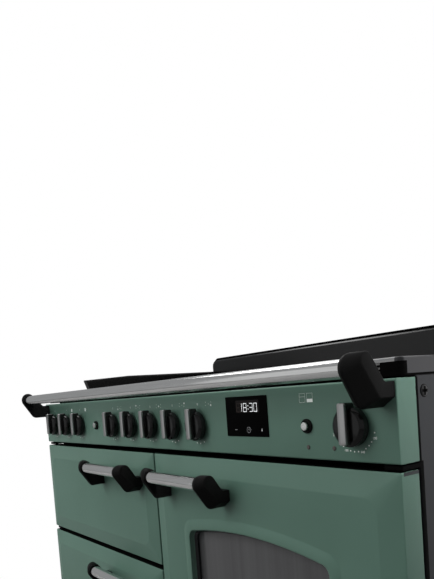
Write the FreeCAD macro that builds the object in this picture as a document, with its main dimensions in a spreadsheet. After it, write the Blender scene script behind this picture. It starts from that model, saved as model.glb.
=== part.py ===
import FreeCAD, Part
import Sketcher
import math
import operator
import os
import types

doc = FreeCAD.newDocument("range_cooker")
sheet = doc.addObject("Spreadsheet::Sheet", "Sizes")

# Driving sizes in millimetres: alias, number, what it is
driving = [
    ("overall_width", 1100, "outside width of the cooker"),
    ("body_depth", 608, "control panel face to back"),
    ("hob_height", 905, "floor to the top of the hob trim"),
    ("sheet_steel", 2, "folded sheet"),
    ("running_clearance", 0.05, "radial clearance of shafts and pins"),
    ("slide_clearance", 0.5, "clearance beside sliding faces"),
    ("side_inset", 1.5, "side sheet in from the ends of the control panel"),
    ("side_flange", 22, "flange of a side sheet"),
    ("back_slot_length", 50, "vent slot of the back panel"),
    ("back_slot_height", 6, "vent slot of the back panel"),
    ("back_slot_pitch", 69, "spacing of the back vents"),
    ("back_slot_drop", 60, "hob trim down to the back vents"),
    ("cable_hole", 28, "cable entry of the back panel"),
    ("cable_inset", 90, "cable entry in from the right end"),
    ("cable_drop", 110, "hob trim down to the cable entry"),
    ("base_vent_width", 300, "opening of the base pan, left to right"),
    ("base_vent_depth", 120, "opening of the base pan, front to back"),
    ("base_vent_back", 300, "front frame back to the opening of the base pan"),
    ("cabinet_front", 39, "control panel face back to the front frame"),
    ("frame_sheet", 2.5, "thickness of the front frame"),
    ("ledge_inset", 20, "ledges of the front frame in from the ends"),
    ("drawer_margin", 8, "front frame round the drawer box"),
    ("base_height", 95, "floor to the underside of the cabinet"),
    ("plinth_setback", 60, "control panel face back to the plinth"),
    ("plinth_clearance", 12, "floor to the plinth"),
    ("plinth_inset", 15, "plinth in from the ends"),
    ("plinth_flange", 18, "flange at the top of the plinth"),
    ("foot_diameter", 44, "pad of a levelling foot"),
    ("foot_pad", 5, "edge of a foot pad"),
    ("foot_cone", 14, "floor to the stem of a foot"),
    ("stem_diameter", 14, "threaded stem of a foot"),
    ("nut_diameter", 26, "lock nut of a foot"),
    ("nut_height", 12, "lock nut of a foot"),
    ("nut_drop", 23, "underside of the cabinet down to the lock nut"),
    ("foot_inset", 70, "feet in from the ends"),
    ("foot_front", 115, "control panel face back to the front feet"),
    ("foot_back", 60, "rear feet in from the back"),
    ("trim_height", 22, "hob trim, top to bottom"),
    ("trim_setback", 12, "control panel face back to the hob trim"),
    ("trim_gap", 2, "hob trim down to the control panel"),
    ("trim_bar", 20, "width of the trim beside the glass"),
    ("trim_corner", 6, "rounded corners of the hob trim"),
    ("trim_round", 3, "rounded top edge of the hob trim"),
    ("louvre_height", 2.5, "louvre along the front of the trim"),
    ("louvre_depth", 9, "louvre, front to back"),
    ("louvre_pitch", 5, "spacing of the louvres"),
    ("louvre_start", 5.5, "lowest louvre above the bottom of the trim"),
    ("louvre_inset", 30, "louvres in from the ends"),
    ("glass_sheet", 5, "hob glass"),
    ("glass_ledge", 10, "ledge under the edge of the hob glass"),
    ("glass_drop", 1, "hob glass below the top of the trim"),
    ("glass_fit", 0.3, "hob glass to the trim round it"),
    ("glass_corner", 5, "rounded corners of the hob glass"),
    ("coil_small", 144, "small induction coil"),
    ("coil_medium", 180, "medium induction coil"),
    ("coil_large", 240, "large induction coil"),
    ("coil_bore", 44, "hole of a coil"),
    ("coil_depth", 10, "coil, top to bottom"),
    ("coil_spread", 380, "side coils from the middle, left to right"),
    ("coil_stagger", 110, "side coils from the middle, front to back"),
    ("upstand_depth", 52, "rear upstand, front to back"),
    ("upstand_height", 83, "rear upstand above the hob trim"),
    ("upstand_corner", 11, "rounded top corners of the upstand"),
    ("upstand_slope", 12, "sloped vent band along the upstand"),
    ("duct_inset", 20, "closed ends of the upstand"),
    ("vent_width", 19, "vent of the upstand, left to right"),
    ("vent_depth", 4, "vent of the upstand, front to back"),
    ("vent_setback", 5, "upstand face back to the vents"),
    ("vent_pitch", 24, "spacing of the upstand vents"),
    ("wing_width", 18, "side wing, left to right"),
    ("wing_height", 41, "side wing above the hob trim"),
    ("wing_start", 112, "control panel face back to the side wing"),
    ("wing_fall", 133, "falling front part of a wing"),
    ("wing_drop", 7, "fall of the wing at its front end"),
    ("wing_rake", 12, "front end of a wing cut back at its foot"),
    ("wing_round", 4, "rounded top edges of a wing"),
    ("panel_height", 98, "control panel, top to bottom"),
    ("panel_depth", 35.5, "control panel, front to back"),
    ("panel_round", 2.5, "rounded front edges of the control panel"),
    ("knob_pitch", 78.5, "spacing of the knobs"),
    ("knob_axis", 44, "knob axis above the bottom of the panel"),
    ("knob_diameter", 49, "round base of a knob"),
    ("knob_depth", 12.5, "round base of a knob, front to back"),
    ("knob_reach", 23, "front of a knob from the panel"),
    ("knob_gap", 2.5, "knob to the panel"),
    ("knob_skirt", 8.5, "straight side of a knob base"),
    ("knob_bevel", 5, "bevel of a knob base, measured inwards"),
    ("knob_bevel_round", 9, "roundness of the bevel of a knob base"),
    ("grip_length", 50, "grip bar of a knob"),
    ("grip_width", 13, "grip bar at its foot"),
    ("grip_shift", 4, "grip bar off the knob axis, towards its pointer end"),
    ("grip_foot", 6, "panel to the foot of the grip bar"),
    ("grip_corner", 3, "rounded corners of the grip bar"),
    ("grip_lip", 0.4, "grip bar beyond the strip all round"),
    ("strip_width", 11, "satin strip on the grip"),
    ("strip_sheet", 3, "satin strip thickness"),
    ("strip_corner", 2.6, "rounded corners of the strip"),
    ("strip_bevel", 0.5, "bevelled front edge of the strip"),
    ("shaft_diameter", 6, "knob shaft"),
    ("shaft_length", 18, "knob shaft behind the panel face"),
    ("switch_width", 36, "switch body behind a knob"),
    ("switch_depth", 25, "switch body, front to back"),
    ("clock_width", 96, "clock display"),
    ("clock_height", 66, "clock display"),
    ("clock_axis", 61, "middle of the clock above the bottom of the panel"),
    ("clock_corner", 2, "rounded corners of the clock"),
    ("clock_proud", 1.2, "clock in front of the panel"),
    ("clock_depth", 16, "clock, front to back"),
    ("clock_bevel", 0.8, "bevelled front edge of the clock"),
    ("button_diameter", 10, "push button cap"),
    ("button_reach", 7, "push button cap from the panel"),
    ("button_travel", 3, "push button travel"),
    ("button_bevel", 0.8, "bevelled edge of a push button"),
    ("collar_gap", 0.3, "collar of a button behind its bezel"),
    ("collar_width", 1.2, "collar beyond the button cap"),
    ("collar_depth", 2, "collar of a button, front to back"),
    ("bezel_diameter", 16, "ring round a push button"),
    ("bezel_proud", 3, "ring in front of the panel"),
    ("bezel_bevel", 1, "bevelled edge of the ring"),
    ("bezel_lip", 1.5, "lip of the ring on the panel"),
    ("bezel_length", 8, "ring behind the panel face"),
    ("lens_diameter", 6, "indicator lens"),
    ("lens_height", 16, "lens above the bottom of the panel"),
    ("lens_proud", 1.2, "lens in front of the panel"),
    ("lens_bevel", 0.9, "bevelled edge of a lens"),
    ("lens_length", 8, "lens behind the panel face"),
    ("rail_diameter", 22, "handrail tube"),
    ("rail_rise", 14, "handrail axis above the top of the panel"),
    ("rail_inset", 2, "handrail bracket in from the panel end"),
    ("rail_offset", 51, "handrail axis in front of the panel"),
    ("rail_tip_width", 17.5, "handrail bracket, outer end in to its largest section"),
    ("rail_shank_width", 12, "handrail bracket, largest section in to its inner end"),
    ("rail_nose", 17, "largest section round the handrail"),
    ("rail_tip", 9.5, "round top of the outer end"),
    ("rail_tip_back", 6, "round top of the outer end back from the axis"),
    ("rail_foot_top", 17, "handrail axis down to the top of the foot"),
    ("rail_foot_low", 46.5, "handrail axis down to the bottom of the foot"),
    ("rail_foot_cut", 12, "rise of the bottom towards both ends"),
    ("rail_heel", 14, "lower front corner of the largest section"),
    ("rail_heel_back", 33.5, "lower front corner from the panel"),
    ("rail_tip_heel_back", 24, "lower front corner of the ends from the panel"),
    ("rail_throat_back", 13.5, "inner corner of the arm from the panel"),
    ("bar_diameter", 22, "handle bar of a front"),
    ("handle_length", 196, "handle over its brackets"),
    ("handle_inset", 38, "handle in from the opening edge"),
    ("handle_offset", 40, "handle bar axis in front of the raised field"),
    ("handle_tip_width", 16.5, "handle bracket, outer end in to its largest section"),
    ("handle_shank_width", 12, "handle bracket, largest section in to its inner end"),
    ("handle_nose", 15, "largest section round the handle bar"),
    ("handle_tip", 9, "round top of the outer end"),
    ("handle_tip_back", 5, "round top of the outer end back from the axis"),
    ("handle_foot_top", 12.5, "handle bar axis down to the top of the foot"),
    ("handle_foot_low", 41, "handle bar axis down to the bottom of the foot"),
    ("handle_foot_cut", 11, "rise of the bottom towards both ends"),
    ("handle_heel", 12, "lower front corner of the largest section"),
    ("handle_heel_back", 24, "lower front corner from the raised field"),
    ("handle_tip_heel_back", 17, "lower front corner of the ends from the raised field"),
    ("handle_throat_back", 10, "inner corner of the arm from the raised field"),
    ("throat_radius", 5, "inner corner of an arm"),
    ("end_heel", 5, "lower front corner of the ends of an arm"),
    ("socket_wall", 2, "arm round the tube at its inner end"),
    ("tube_wall", 1.5, "wall of the tubes"),
    ("socket_depth", 12, "tube end inside its bracket"),
    ("handle_drop", 34, "bar axis below the top of its front"),
    ("front_gap", 9, "control panel down to the fronts"),
    ("stack_gap", 10, "gap between stacked fronts"),
    ("column_gap", 4, "gap between the two columns"),
    ("short_front", 215, "height of the short fronts"),
    ("front_bottom", 105, "floor to the lowest fronts"),
    ("door_depth", 33, "edge of a front, front to back"),
    ("face_plate", 8, "edge plane back to the hollow of a front"),
    ("field_rise", 6, "raised field in front of the edge"),
    ("bevel_width", 32, "sloped band round the raised field"),
    ("field_corner", 15, "rounded corners of the raised field"),
    ("edge_round", 2, "rounded corners of the edge"),
    ("window_width", 356, "window recess"),
    ("window_drop", 97, "top of a door down to the window recess"),
    ("window_rise", 14, "arch of the window"),
    ("window_foot", 90, "window recess up from the bottom of the door"),
    ("window_corner", 24, "rounded corners of the window recess"),
    ("throat_rise", 12.6, "arch of the glass opening"),
    ("throat_corner", 12, "rounded corners of the glass opening"),
    ("rim_width", 22, "sloped rim of the window"),
    ("rim_depth", 10, "depth of the window rim"),
    ("pane_sheet", 4, "door glass"),
    ("pane_lap", 12, "door glass behind its opening"),
    ("liner_sheet", 3, "inner door liner"),
    ("liner_corner", 12, "rounded corners of the liner window"),
    ("hinge_inset", 14, "hinge axis in from the outer edge"),
    ("pin_diameter", 8, "hinge pin"),
    ("pin_length", 14, "hinge pin beyond its block"),
    ("block_sheet", 5, "hinge block, top to bottom"),
    ("block_width", 26, "hinge block, left to right"),
    ("block_nose", 11, "hinge block in front of the pin axis"),
    ("seal_width", 8, "door seal"),
    ("seal_margin", 8, "door seal out from the cavity mouth"),
    ("seal_corner", 22, "inner corners of a door seal"),
    ("seal_gap", 0.3, "door to its seal"),
    ("cavity_width", 430, "oven cavity"),
    ("cavity_height", 350, "oven cavity"),
    ("rear_space", 101.5, "oven cavity to the back of the body"),
    ("cavity_corner", 12, "rounded corners of the cavities"),
    ("grill_height", 120, "grill cavity"),
    ("grill_depth", 420, "grill cavity behind the frame"),
    ("flange_width", 15, "flange round a cavity"),
    ("fan_diameter", 150, "oven fan"),
    ("fan_depth", 24, "oven fan blades"),
    ("fan_back", 6, "fan plate in front of the rear wall"),
    ("fan_plate", 1.5, "plate of the fan"),
    ("fan_hub", 24, "hub of the fan at its plate"),
    ("fan_nose", 20, "hub of the fan at its front"),
    ("fan_shaft", 8, "shaft of the fan"),
    ("fan_reach", 30, "fan shaft inside its motor"),
    ("shaft_hole", 14, "rear wall round the fan shaft"),
    ("shaft_end", 4, "end of the fan shaft to the end of its bore"),
    ("blade_start", 33, "inner end of a fan blade from the axis"),
    ("blade_end", 1, "fan blade in from the rim of its plate"),
    ("blade_sheet", 2, "fan blade"),
    ("fan_zone", 45, "fan cover, front to back"),
    ("cover_width", 300, "fan cover"),
    ("cover_height", 250, "fan cover"),
    ("cover_corner", 12, "rounded corners of the fan cover"),
    ("intake_width", 8, "intake slot of the fan cover"),
    ("intake_length", 37, "intake slot of the fan cover"),
    ("intake_place", 44, "middle of an intake slot from the fan axis"),
    ("outlet_width", 22, "outlet of the fan cover, front to back"),
    ("outlet_height", 150, "outlet of the fan cover"),
    ("motor_diameter", 70, "fan motor"),
    ("motor_depth", 45, "fan motor behind the oven"),
    ("element_diameter", 7, "heating element rod"),
    ("ring_diameter", 200, "ring element round the fan"),
    ("ring_stand", 18, "ring element in front of the rear wall"),
    ("lead_spread", 8, "leads of the ring element from its middle"),
    ("grill_drop", 22, "roof of the grill down to its element"),
    ("grill_lane", 86, "spacing of the lanes of the grill element"),
    ("grill_margin", 70, "turns of the grill element in from the ends of the cavity"),
    ("wire_diameter", 6, "wire of the shelves and their supports"),
    ("shelf_pitch", 75, "spacing of the shelf runners"),
    ("support_gap", 0.3, "shelf support to the oven wall"),
    ("support_front", 30, "front frame back to the shelf supports"),
    ("support_length", 330, "rung of a shelf support"),
    ("post_front", 60, "front frame back to the front posts"),
    ("post_back", 330, "front frame back to the rear posts"),
    ("post_over", 30, "posts beyond the outer rungs"),
    ("shelf_front", 84, "front frame back to the shelf"),
    ("shelf_length", 242, "shelf, front to back"),
    ("shelf_gap", 1, "shelf to the middle of a rung at each side"),
    ("shelf_wire", 5, "long wires of a shelf"),
    ("long_spread", 176, "outer long wires of a shelf from its middle"),
    ("cross_start", 6, "first cross wire in from the front of the shelf"),
    ("cross_pitch", 38, "spacing of the cross wires"),
    ("drawer_height", 150, "drawer box"),
    ("drawer_width", 460, "drawer box"),
    ("drawer_length", 470, "drawer box behind the frame"),
    ("drawer_lift", 18, "bottom of the drawer front up to the box"),
    ("runner_foot", 20, "foot of a drawer runner"),
    ("runner_lip", 16, "ledge of a runner under the drawer box"),
    ("runner_height", 45, "runner beside the drawer box"),
]


class Size:
    # a length with its number and the sheet formula that gives it
    def __init__(self, number, formula):
        self.number = number
        self.formula = formula

    def __add__(self, other):
        return combine(self, "+", other)

    def __radd__(self, other):
        return combine(other, "+", self)

    def __sub__(self, other):
        return combine(self, "-", other)

    def __rsub__(self, other):
        return combine(other, "-", self)

    def __mul__(self, other):
        return combine(self, "*", other)

    def __rmul__(self, other):
        return combine(other, "*", self)

    def __truediv__(self, other):
        return combine(self, "/", other)

    def __neg__(self):
        return combine(-1, "*", self)


operators = {"+": operator.add, "-": operator.sub, "*": operator.mul, "/": operator.truediv}


def size(value):
    if isinstance(value, Size):
        return value
    return Size(float(value), "(%r)" % float(value))


def combine(left, sign, right):
    left = size(left)
    right = size(right)
    number = operators[sign](left.number, right.number)
    return Size(number, "(%s %s %s)" % (left.formula, sign, right.formula))


def fill_sheet():
    sizes = types.SimpleNamespace()
    for row, (alias, number, note) in enumerate(driving, 1):
        sheet.set("A%d" % row, note)
        sheet.set("B%d" % row, str(number))
        sheet.setAlias("B%d" % row, alias)
        setattr(sizes, alias, Size(float(number), "Sizes." + alias))
    doc.recompute()
    return sizes


sz = fill_sheet()

# Places derived from the driving sizes, in the shared frame
half_width = sz.overall_width / 2
side_x = half_width - sz.side_inset
front_reach = sz.rail_offset + sz.rail_nose
front_y = (front_reach - sz.body_depth) / 2
back_y = front_y + sz.body_depth
frame_y = front_y + sz.cabinet_front
inside_y = frame_y + sz.frame_sheet
trim_bottom = sz.hob_height - sz.trim_height
panel_top = trim_bottom - sz.trim_gap
panel_bottom = panel_top - sz.panel_height
front_top = panel_bottom - sz.front_gap
tall_front = front_top - sz.short_front - sz.stack_gap - sz.front_bottom
column_width = (sz.overall_width - sz.column_gap) / 2
column_x = (sz.column_gap + column_width) / 2
knob_height = panel_bottom + sz.knob_axis
short_left_z = front_top - sz.short_front / 2
tall_left_z = sz.front_bottom + tall_front / 2
tall_right_z = front_top - tall_front / 2
short_right_z = sz.front_bottom + sz.short_front / 2
base_top = sz.base_height + sz.sheet_steel
upstand_y = back_y - sz.upstand_depth
cavity_back = back_y - sz.rear_space
cavity_depth = cavity_back - inside_y


def bind(thing, name, length):
    thing.setExpression(name, size(length).formula)


def place(thing, x, y, z):
    bind(thing, "Placement.Base.x", x)
    bind(thing, "Placement.Base.y", y)
    bind(thing, "Placement.Base.z", z)
    return thing


def box(name, corner, extent):
    block = doc.addObject("Part::Box", name)
    bind(block, "Length", extent[0])
    bind(block, "Width", extent[1])
    bind(block, "Height", extent[2])
    return place(block, *corner)


turns = {
    "X": FreeCAD.Rotation(FreeCAD.Vector(0, 1, 0), 90),
    "Y": FreeCAD.Rotation(FreeCAD.Vector(1, 0, 0), -90),
    "Z": FreeCAD.Rotation(),
}


def rod(name, axis, start, radius, length):
    bar = doc.addObject("Part::Cylinder", name)
    bind(bar, "Radius", radius)
    bind(bar, "Height", length)
    bar.Placement = FreeCAD.Placement(FreeCAD.Vector(), turns[axis])
    return place(bar, *start)


def cut(name, base, tool):
    result = doc.addObject("Part::Cut", name)
    result.Base = base
    result.Tool = tool
    return result


def fuse(name, shapes):
    result = doc.addObject("Part::MultiFuse", name)
    result.Shapes = shapes
    result.Refine = True
    return result


def group(name, members):
    result = doc.addObject("Part::Compound", name)
    result.Links = members
    return result


def copy_at(name, source, x, y, z):
    return place(group(name, [source]), x, y, z)


def tube(name, start, diameter, length):
    outer = rod(name + "_outside", "X", start, diameter / 2, length)
    inner = rod(name + "_bore", "X", start, diameter / 2 - sz.tube_wall, length)
    return cut(name, outer, inner)


def new_body(name, x=0, y=0, z=0):
    return place(doc.addObject("PartDesign::Body", name), x, y, z)


def origin_plane(body, plane):
    for feature in body.Origin.OriginFeatures:
        if feature.Role == plane + "_Plane":
            return feature


def start_sketch(body, name, plane, offset=0):
    sketch = body.newObject("Sketcher::SketchObject", name)
    sketch.AttachmentSupport = (origin_plane(body, plane), [""])
    sketch.MapMode = "FlatFace"
    bind(sketch, "AttachmentOffset.Base.z", offset)
    return sketch


def bend(start, finish, radius, turn):
    # arc of the given radius from start to finish, turning left for +1 and right for -1
    chord = finish - start
    middle = (start + finish) / 2
    reach = math.sqrt(max(radius ** 2 - (chord.Length / 2) ** 2, 0))
    side = FreeCAD.Vector(-chord.y, chord.x, 0).normalize() * turn
    centre = middle + side * reach
    first, last = (start, finish) if turn > 0 else (finish, start)
    begin = math.atan2(first.y - centre.y, first.x - centre.x)
    end = math.atan2(last.y - centre.y, last.x - centre.x)
    circle = Part.Circle(centre, FreeCAD.Vector(0, 0, 1), radius)
    return Part.ArcOfCircle(circle, begin, end)


def fix_point(sketch, geometry, position, u, v):
    for kind, axis, length in (("DistanceX", -2, size(u)), ("DistanceY", -1, size(v))):
        if length.number == 0:
            sketch.addConstraint(Sketcher.Constraint("PointOnObject", geometry, position, axis))
        else:
            rule = Sketcher.Constraint(kind, -1, 1, geometry, position, length.number)
            bind(sketch, "Constraints[%d]" % sketch.addConstraint(rule), length)


def fix_radius(sketch, geometry, radius):
    rule = Sketcher.Constraint("Radius", geometry, size(radius).number)
    bind(sketch, "Constraints[%d]" % sketch.addConstraint(rule), radius)


def draw_loop(sketch, corners):
    # corners are (u, v) or (u, v, radius, turn) where an arc leads on to the next corner
    first = sketch.GeometryCount
    count = len(corners)
    pieces = []
    ends = []
    points = [FreeCAD.Vector(size(c[0]).number, size(c[1]).number, 0) for c in corners]
    for index, corner in enumerate(corners):
        finish = points[(index + 1) % count]
        if len(corner) == 2:
            pieces.append(Part.LineSegment(points[index], finish))
            ends.append((1, 2))
        else:
            pieces.append(bend(points[index], finish, size(corner[2]).number, corner[3]))
            ends.append((1, 2) if corner[3] > 0 else (2, 1))
    sketch.addGeometry(pieces, False)
    joins = []
    for index in range(count):
        after = (index + 1) % count
        here = (first + index, ends[index][1])
        joins.append(Sketcher.Constraint("Coincident", *here, first + after, ends[after][0]))
    sketch.addConstraint(joins)
    for index, corner in enumerate(corners):
        fix_point(sketch, first + index, ends[index][0], corner[0], corner[1])
        if len(corner) == 4:
            fix_radius(sketch, first + index, corner[2])


def draw_circle(sketch, u, v, radius):
    centre = FreeCAD.Vector(size(u).number, size(v).number, 0)
    circle = Part.Circle(centre, FreeCAD.Vector(0, 0, 1), size(radius).number)
    geometry = sketch.addGeometry(circle, False)
    fix_point(sketch, geometry, 3, u, v)
    fix_radius(sketch, geometry, radius)


def draw(body, name, plane, loops, offset=0):
    sketch = start_sketch(body, name, plane, offset)
    for loop in loops:
        draw_loop(sketch, loop)
    return sketch


def rectangle(width, height, u=0, v=0):
    left = u - width / 2
    right = u + width / 2
    low = v - height / 2
    high = v + height / 2
    return [(left, low), (right, low), (right, high), (left, high)]


def rounded(width, height, radius, u=0, v=0):
    left = u - width / 2
    right = u + width / 2
    low = v - height / 2
    high = v + height / 2
    return [
        (left + radius, low), (right - radius, low, radius, 1),
        (right, low + radius), (right, high - radius, radius, 1),
        (right - radius, high), (left + radius, high, radius, 1),
        (left, high - radius), (left, low + radius, radius, 1),
    ]


def pad(body, name, sketch, length, reverse=False):
    feature = body.newObject("PartDesign::Pad", name)
    feature.Profile = sketch
    bind(feature, "Length", length)
    feature.Reversed = reverse
    return feature


def pocket(body, name, sketch, length, reverse=False):
    feature = body.newObject("PartDesign::Pocket", name)
    feature.Profile = sketch
    bind(feature, "Length", length)
    feature.Reversed = reverse
    return feature


def loft(body, name, kind, first, *others):
    feature = body.newObject("PartDesign::" + kind, name)
    feature.Profile = first
    feature.Sections = list(others)
    feature.Ruled = True
    return feature


def revolve(body, name, sketch, axis):
    feature = body.newObject("PartDesign::Revolution", name)
    feature.Profile = sketch
    feature.ReferenceAxis = (sketch, [axis])
    feature.Angle = 360
    return feature


def round_edges(body, name, radius, test, kind="Fillet"):
    doc.recompute()
    base = body.Tip
    chosen = [
        "Edge%d" % number
        for number, edge in enumerate(base.Shape.Edges, 1)
        if test(edge)
    ]
    feature = body.newObject("PartDesign::" + kind, name)
    feature.Base = (base, chosen)
    bind(feature, "Radius" if kind == "Fillet" else "Size", radius)
    return feature


def row(body, name, source, axis, count, pitch):
    doc.recompute()
    feature = body.newObject("PartDesign::LinearPattern", name)
    feature.Originals = [source]
    feature.Direction = (source.Profile[0], [axis])
    feature.Mode = "Spacing"
    bind(feature, "Offset", pitch)
    feature.Occurrences = count
    body.Tip = feature
    return feature


def ring(body, name, source, axis, count):
    doc.recompute()
    feature = body.newObject("PartDesign::PolarPattern", name)
    feature.Originals = [source]
    feature.Axis = (source.Profile[0], [axis])
    feature.Angle = 360
    feature.Occurrences = count
    body.Tip = feature
    return feature


def side_panel(name, side):
    # folded sheet with a front and a rear flange turned inwards
    panel = new_body(name)
    outside = side * side_x
    inside = side * (side_x - sz.sheet_steel)
    flange = side * (side_x - sz.side_flange)
    rear = back_y - sz.sheet_steel
    corners = [
        (outside, frame_y), (outside, rear), (flange, rear), (flange, rear - sz.sheet_steel),
        (inside, rear - sz.sheet_steel), (inside, inside_y + sz.sheet_steel),
        (flange, inside_y + sz.sheet_steel), (flange, inside_y), (inside, inside_y), (inside, frame_y),
    ]
    outline = draw(panel, name + "_outline", "XY", [corners], base_top)
    pad(panel, name + "_sheet", outline, trim_bottom - base_top)
    return panel


def back_panel():
    panel = new_body("back_panel", 0, back_y, 0)
    height = trim_bottom - sz.base_height
    middle = sz.base_height + height / 2
    sheet_outline = draw(panel, "back_outline", "XZ", [rectangle(side_x * 2, height, 0, middle)])
    pad(panel, "back_sheet", sheet_outline, sz.sheet_steel)
    slot_count = 12
    first = sz.back_slot_pitch * (1 - slot_count) / 2
    tall = sz.back_slot_height
    outline = rounded(sz.back_slot_length, tall, tall * 0.48, first, trim_bottom - sz.back_slot_drop)
    vents = pocket(panel, "back_vent", draw(panel, "back_slot", "XZ", [outline]), sz.sheet_steel, True)
    row(panel, "back_vents", vents, "H_Axis", slot_count, sz.back_slot_pitch)
    entry = start_sketch(panel, "cable_entry", "XZ")
    draw_circle(entry, half_width - sz.cable_inset, trim_bottom - sz.cable_drop, sz.cable_hole / 2)
    pocket(panel, "cable_opening", entry, sz.sheet_steel, True)
    return panel


def base_pan():
    depth = back_y - sz.sheet_steel - inside_y
    corner = (-side_x, inside_y, sz.base_height)
    sheet_part = box("base_sheet", corner, (side_x * 2, depth, sz.sheet_steel))
    gap = (sz.base_vent_width, sz.base_vent_depth, sz.sheet_steel)
    start = (-sz.base_vent_width / 2, inside_y + sz.base_vent_back, sz.base_height)
    vent = box("base_vent", start, gap)
    return cut("base_pan", sheet_part, vent)


def plinth():
    width = sz.overall_width - sz.plinth_inset * 2
    strip = new_body("plinth", -width / 2, front_y + sz.plinth_setback, 0)
    corners = [
        (0, sz.plinth_clearance), (sz.sheet_steel, sz.plinth_clearance),
        (sz.sheet_steel, sz.base_height - sz.sheet_steel),
        (sz.plinth_flange, sz.base_height - sz.sheet_steel), (sz.plinth_flange, sz.base_height),
        (0, sz.base_height),
    ]
    pad(strip, "plinth_sheet", draw(strip, "plinth_outline", "YZ", [corners]), width)
    return strip


def levelling_feet():
    foot = new_body("foot")
    radius = sz.foot_diameter / 2
    stem = sz.stem_diameter / 2
    nut = sz.nut_diameter / 2
    nut_top = sz.base_height - sz.nut_drop
    corners = [
        (0, 0), (radius, 0), (radius, sz.foot_pad), (stem, sz.foot_cone), (stem, nut_top - sz.nut_height),
        (nut, nut_top - sz.nut_height), (nut, nut_top), (stem, nut_top), (stem, sz.base_height),
        (0, sz.base_height),
    ]
    revolve(foot, "foot_turned", draw(foot, "foot_outline", "XZ", [corners]), "V_Axis")
    spread = half_width - sz.foot_inset
    feet = []
    for across in (-1, 1):
        for along in (front_y + sz.foot_front, back_y - sz.foot_back):
            feet.append(copy_at("foot_%d" % (len(feet) + 1), foot, across * spread, along, 0))
    return group("levelling_feet", feet)


def front_frame():
    # welded frame behind the fronts: three uprights and the rails between them
    low = sz.base_height
    edge = side_x - sz.sheet_steel
    outer_foot = column_x + sz.drawer_width / 2 + sz.drawer_margin
    jamb = column_x + sz.cavity_width / 2
    inner_jamb = column_x - sz.cavity_width / 2
    drawer_left = column_x - sz.drawer_width / 2 - sz.drawer_margin
    drawer_low = drawer_z() - sz.drawer_margin
    drawer_high = drawer_z() + sz.drawer_height + sz.drawer_margin
    oven = sz.cavity_height / 2
    grill = sz.grill_height / 2
    sheets = [
        ("left_upright", -edge, -jamb, low, panel_top),
        ("middle_upright", -inner_jamb, inner_jamb, drawer_high, panel_top),
        ("middle_foot", -inner_jamb, drawer_left, low, drawer_high),
        ("right_upright", jamb, edge, drawer_high, panel_top),
        ("right_foot", outer_foot, edge, low, drawer_high),
        ("left_low_rail", -jamb, -inner_jamb, low, tall_left_z - oven),
        ("left_rail", -jamb, -inner_jamb, tall_left_z + oven, short_left_z - grill),
        ("left_top_rail", -jamb, -inner_jamb, short_left_z + grill, panel_top),
        ("right_low_rail", drawer_left, outer_foot, low, drawer_low),
        ("right_rail", inner_jamb, jamb, drawer_high, tall_right_z - oven),
        ("right_top_rail", inner_jamb, jamb, tall_right_z + oven, panel_top),
    ]
    members = [frame_sheet(name, left, right, foot, top) for name, left, right, foot, top in sheets]
    for name, level in (("upper_ledge", panel_top - sz.sheet_steel), ("lower_ledge", panel_bottom)):
        ledge = new_body(name, 0, frame_y, level)
        width = sz.overall_width - sz.ledge_inset * 2
        outline = rectangle(width, sz.sheet_steel, 0, sz.sheet_steel / 2)
        sketch = draw(ledge, name + "_outline", "XZ", [outline])
        pad(ledge, name + "_sheet", sketch, sz.cabinet_front - sz.panel_depth)
        members.append(ledge)
    return group("front_frame", members)


def frame_sheet(name, left, right, foot, top):
    upright = new_body(name, 0, frame_y, 0)
    outline = rectangle(right - left, top - foot, (left + right) / 2, (foot + top) / 2)
    pad(upright, name + "_sheet", draw(upright, name + "_outline", "XZ", [outline]), sz.frame_sheet, True)
    return upright


def drawer_z():
    return sz.front_bottom + sz.drawer_lift


def hob_trim():
    # steel frame of the hob: rebate for the glass and cooling louvres along the front
    trim = new_body("hob_trim", 0, front_y + sz.trim_setback, trim_bottom)
    depth = sz.body_depth - sz.trim_setback
    opening = glass_depth() - sz.glass_ledge * 2
    middle = sz.trim_bar + glass_depth() / 2
    outer = rounded(sz.overall_width, depth, sz.trim_corner, 0, depth / 2)
    inner = rectangle(glass_width() - sz.glass_ledge * 2, opening, 0, middle)
    pad(trim, "trim_ring", draw(trim, "trim_outline", "XY", [outer, inner]), sz.trim_height)
    seat_outline = rounded(glass_width(), glass_depth(), sz.glass_corner, 0, middle)
    seat = draw(trim, "glass_seat", "XY", [seat_outline], sz.trim_height)
    pocket(trim, "glass_rebate", seat, sz.glass_sheet + sz.glass_drop)
    louvre = rectangle(sz.overall_width - sz.louvre_inset * 2, sz.louvre_height, 0, sz.louvre_start)
    groove = pocket(trim, "louvre", draw(trim, "louvre_outline", "XZ", [louvre]), sz.louvre_depth)
    row(trim, "louvres", groove, "V_Axis", 3, sz.louvre_pitch)
    round_edges(trim, "trim_soft_edge", sz.trim_round, trim_lip)
    return trim


def trim_lip(edge):
    # outer top edge of the trim
    ends = [v.Point for v in edge.Vertexes]
    high = all(abs(p.z - sz.trim_height.number) < 0.01 for p in ends)
    depth = (sz.body_depth - sz.trim_setback).number
    side = half_width.number
    near = sz.trim_corner.number + 1
    rim = all(abs(abs(p.x) - side) < near or min(p.y, depth - p.y) < near for p in ends)
    return high and rim


def glass_width():
    return sz.overall_width - sz.trim_bar * 2


def glass_depth():
    return sz.body_depth - sz.trim_setback - sz.trim_bar * 2 - sz.upstand_depth


def hob_glass():
    fit = sz.glass_fit
    middle = front_y + sz.trim_setback + sz.trim_bar + glass_depth() / 2
    glass = new_body("hob_glass", 0, middle, sz.hob_height - sz.glass_sheet - sz.glass_drop)
    outline = rounded(glass_width() - fit * 2, glass_depth() - fit * 2, sz.glass_corner)
    pad(glass, "glass_plate", draw(glass, "glass_outline", "XY", [outline]), sz.glass_sheet)
    return glass


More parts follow.
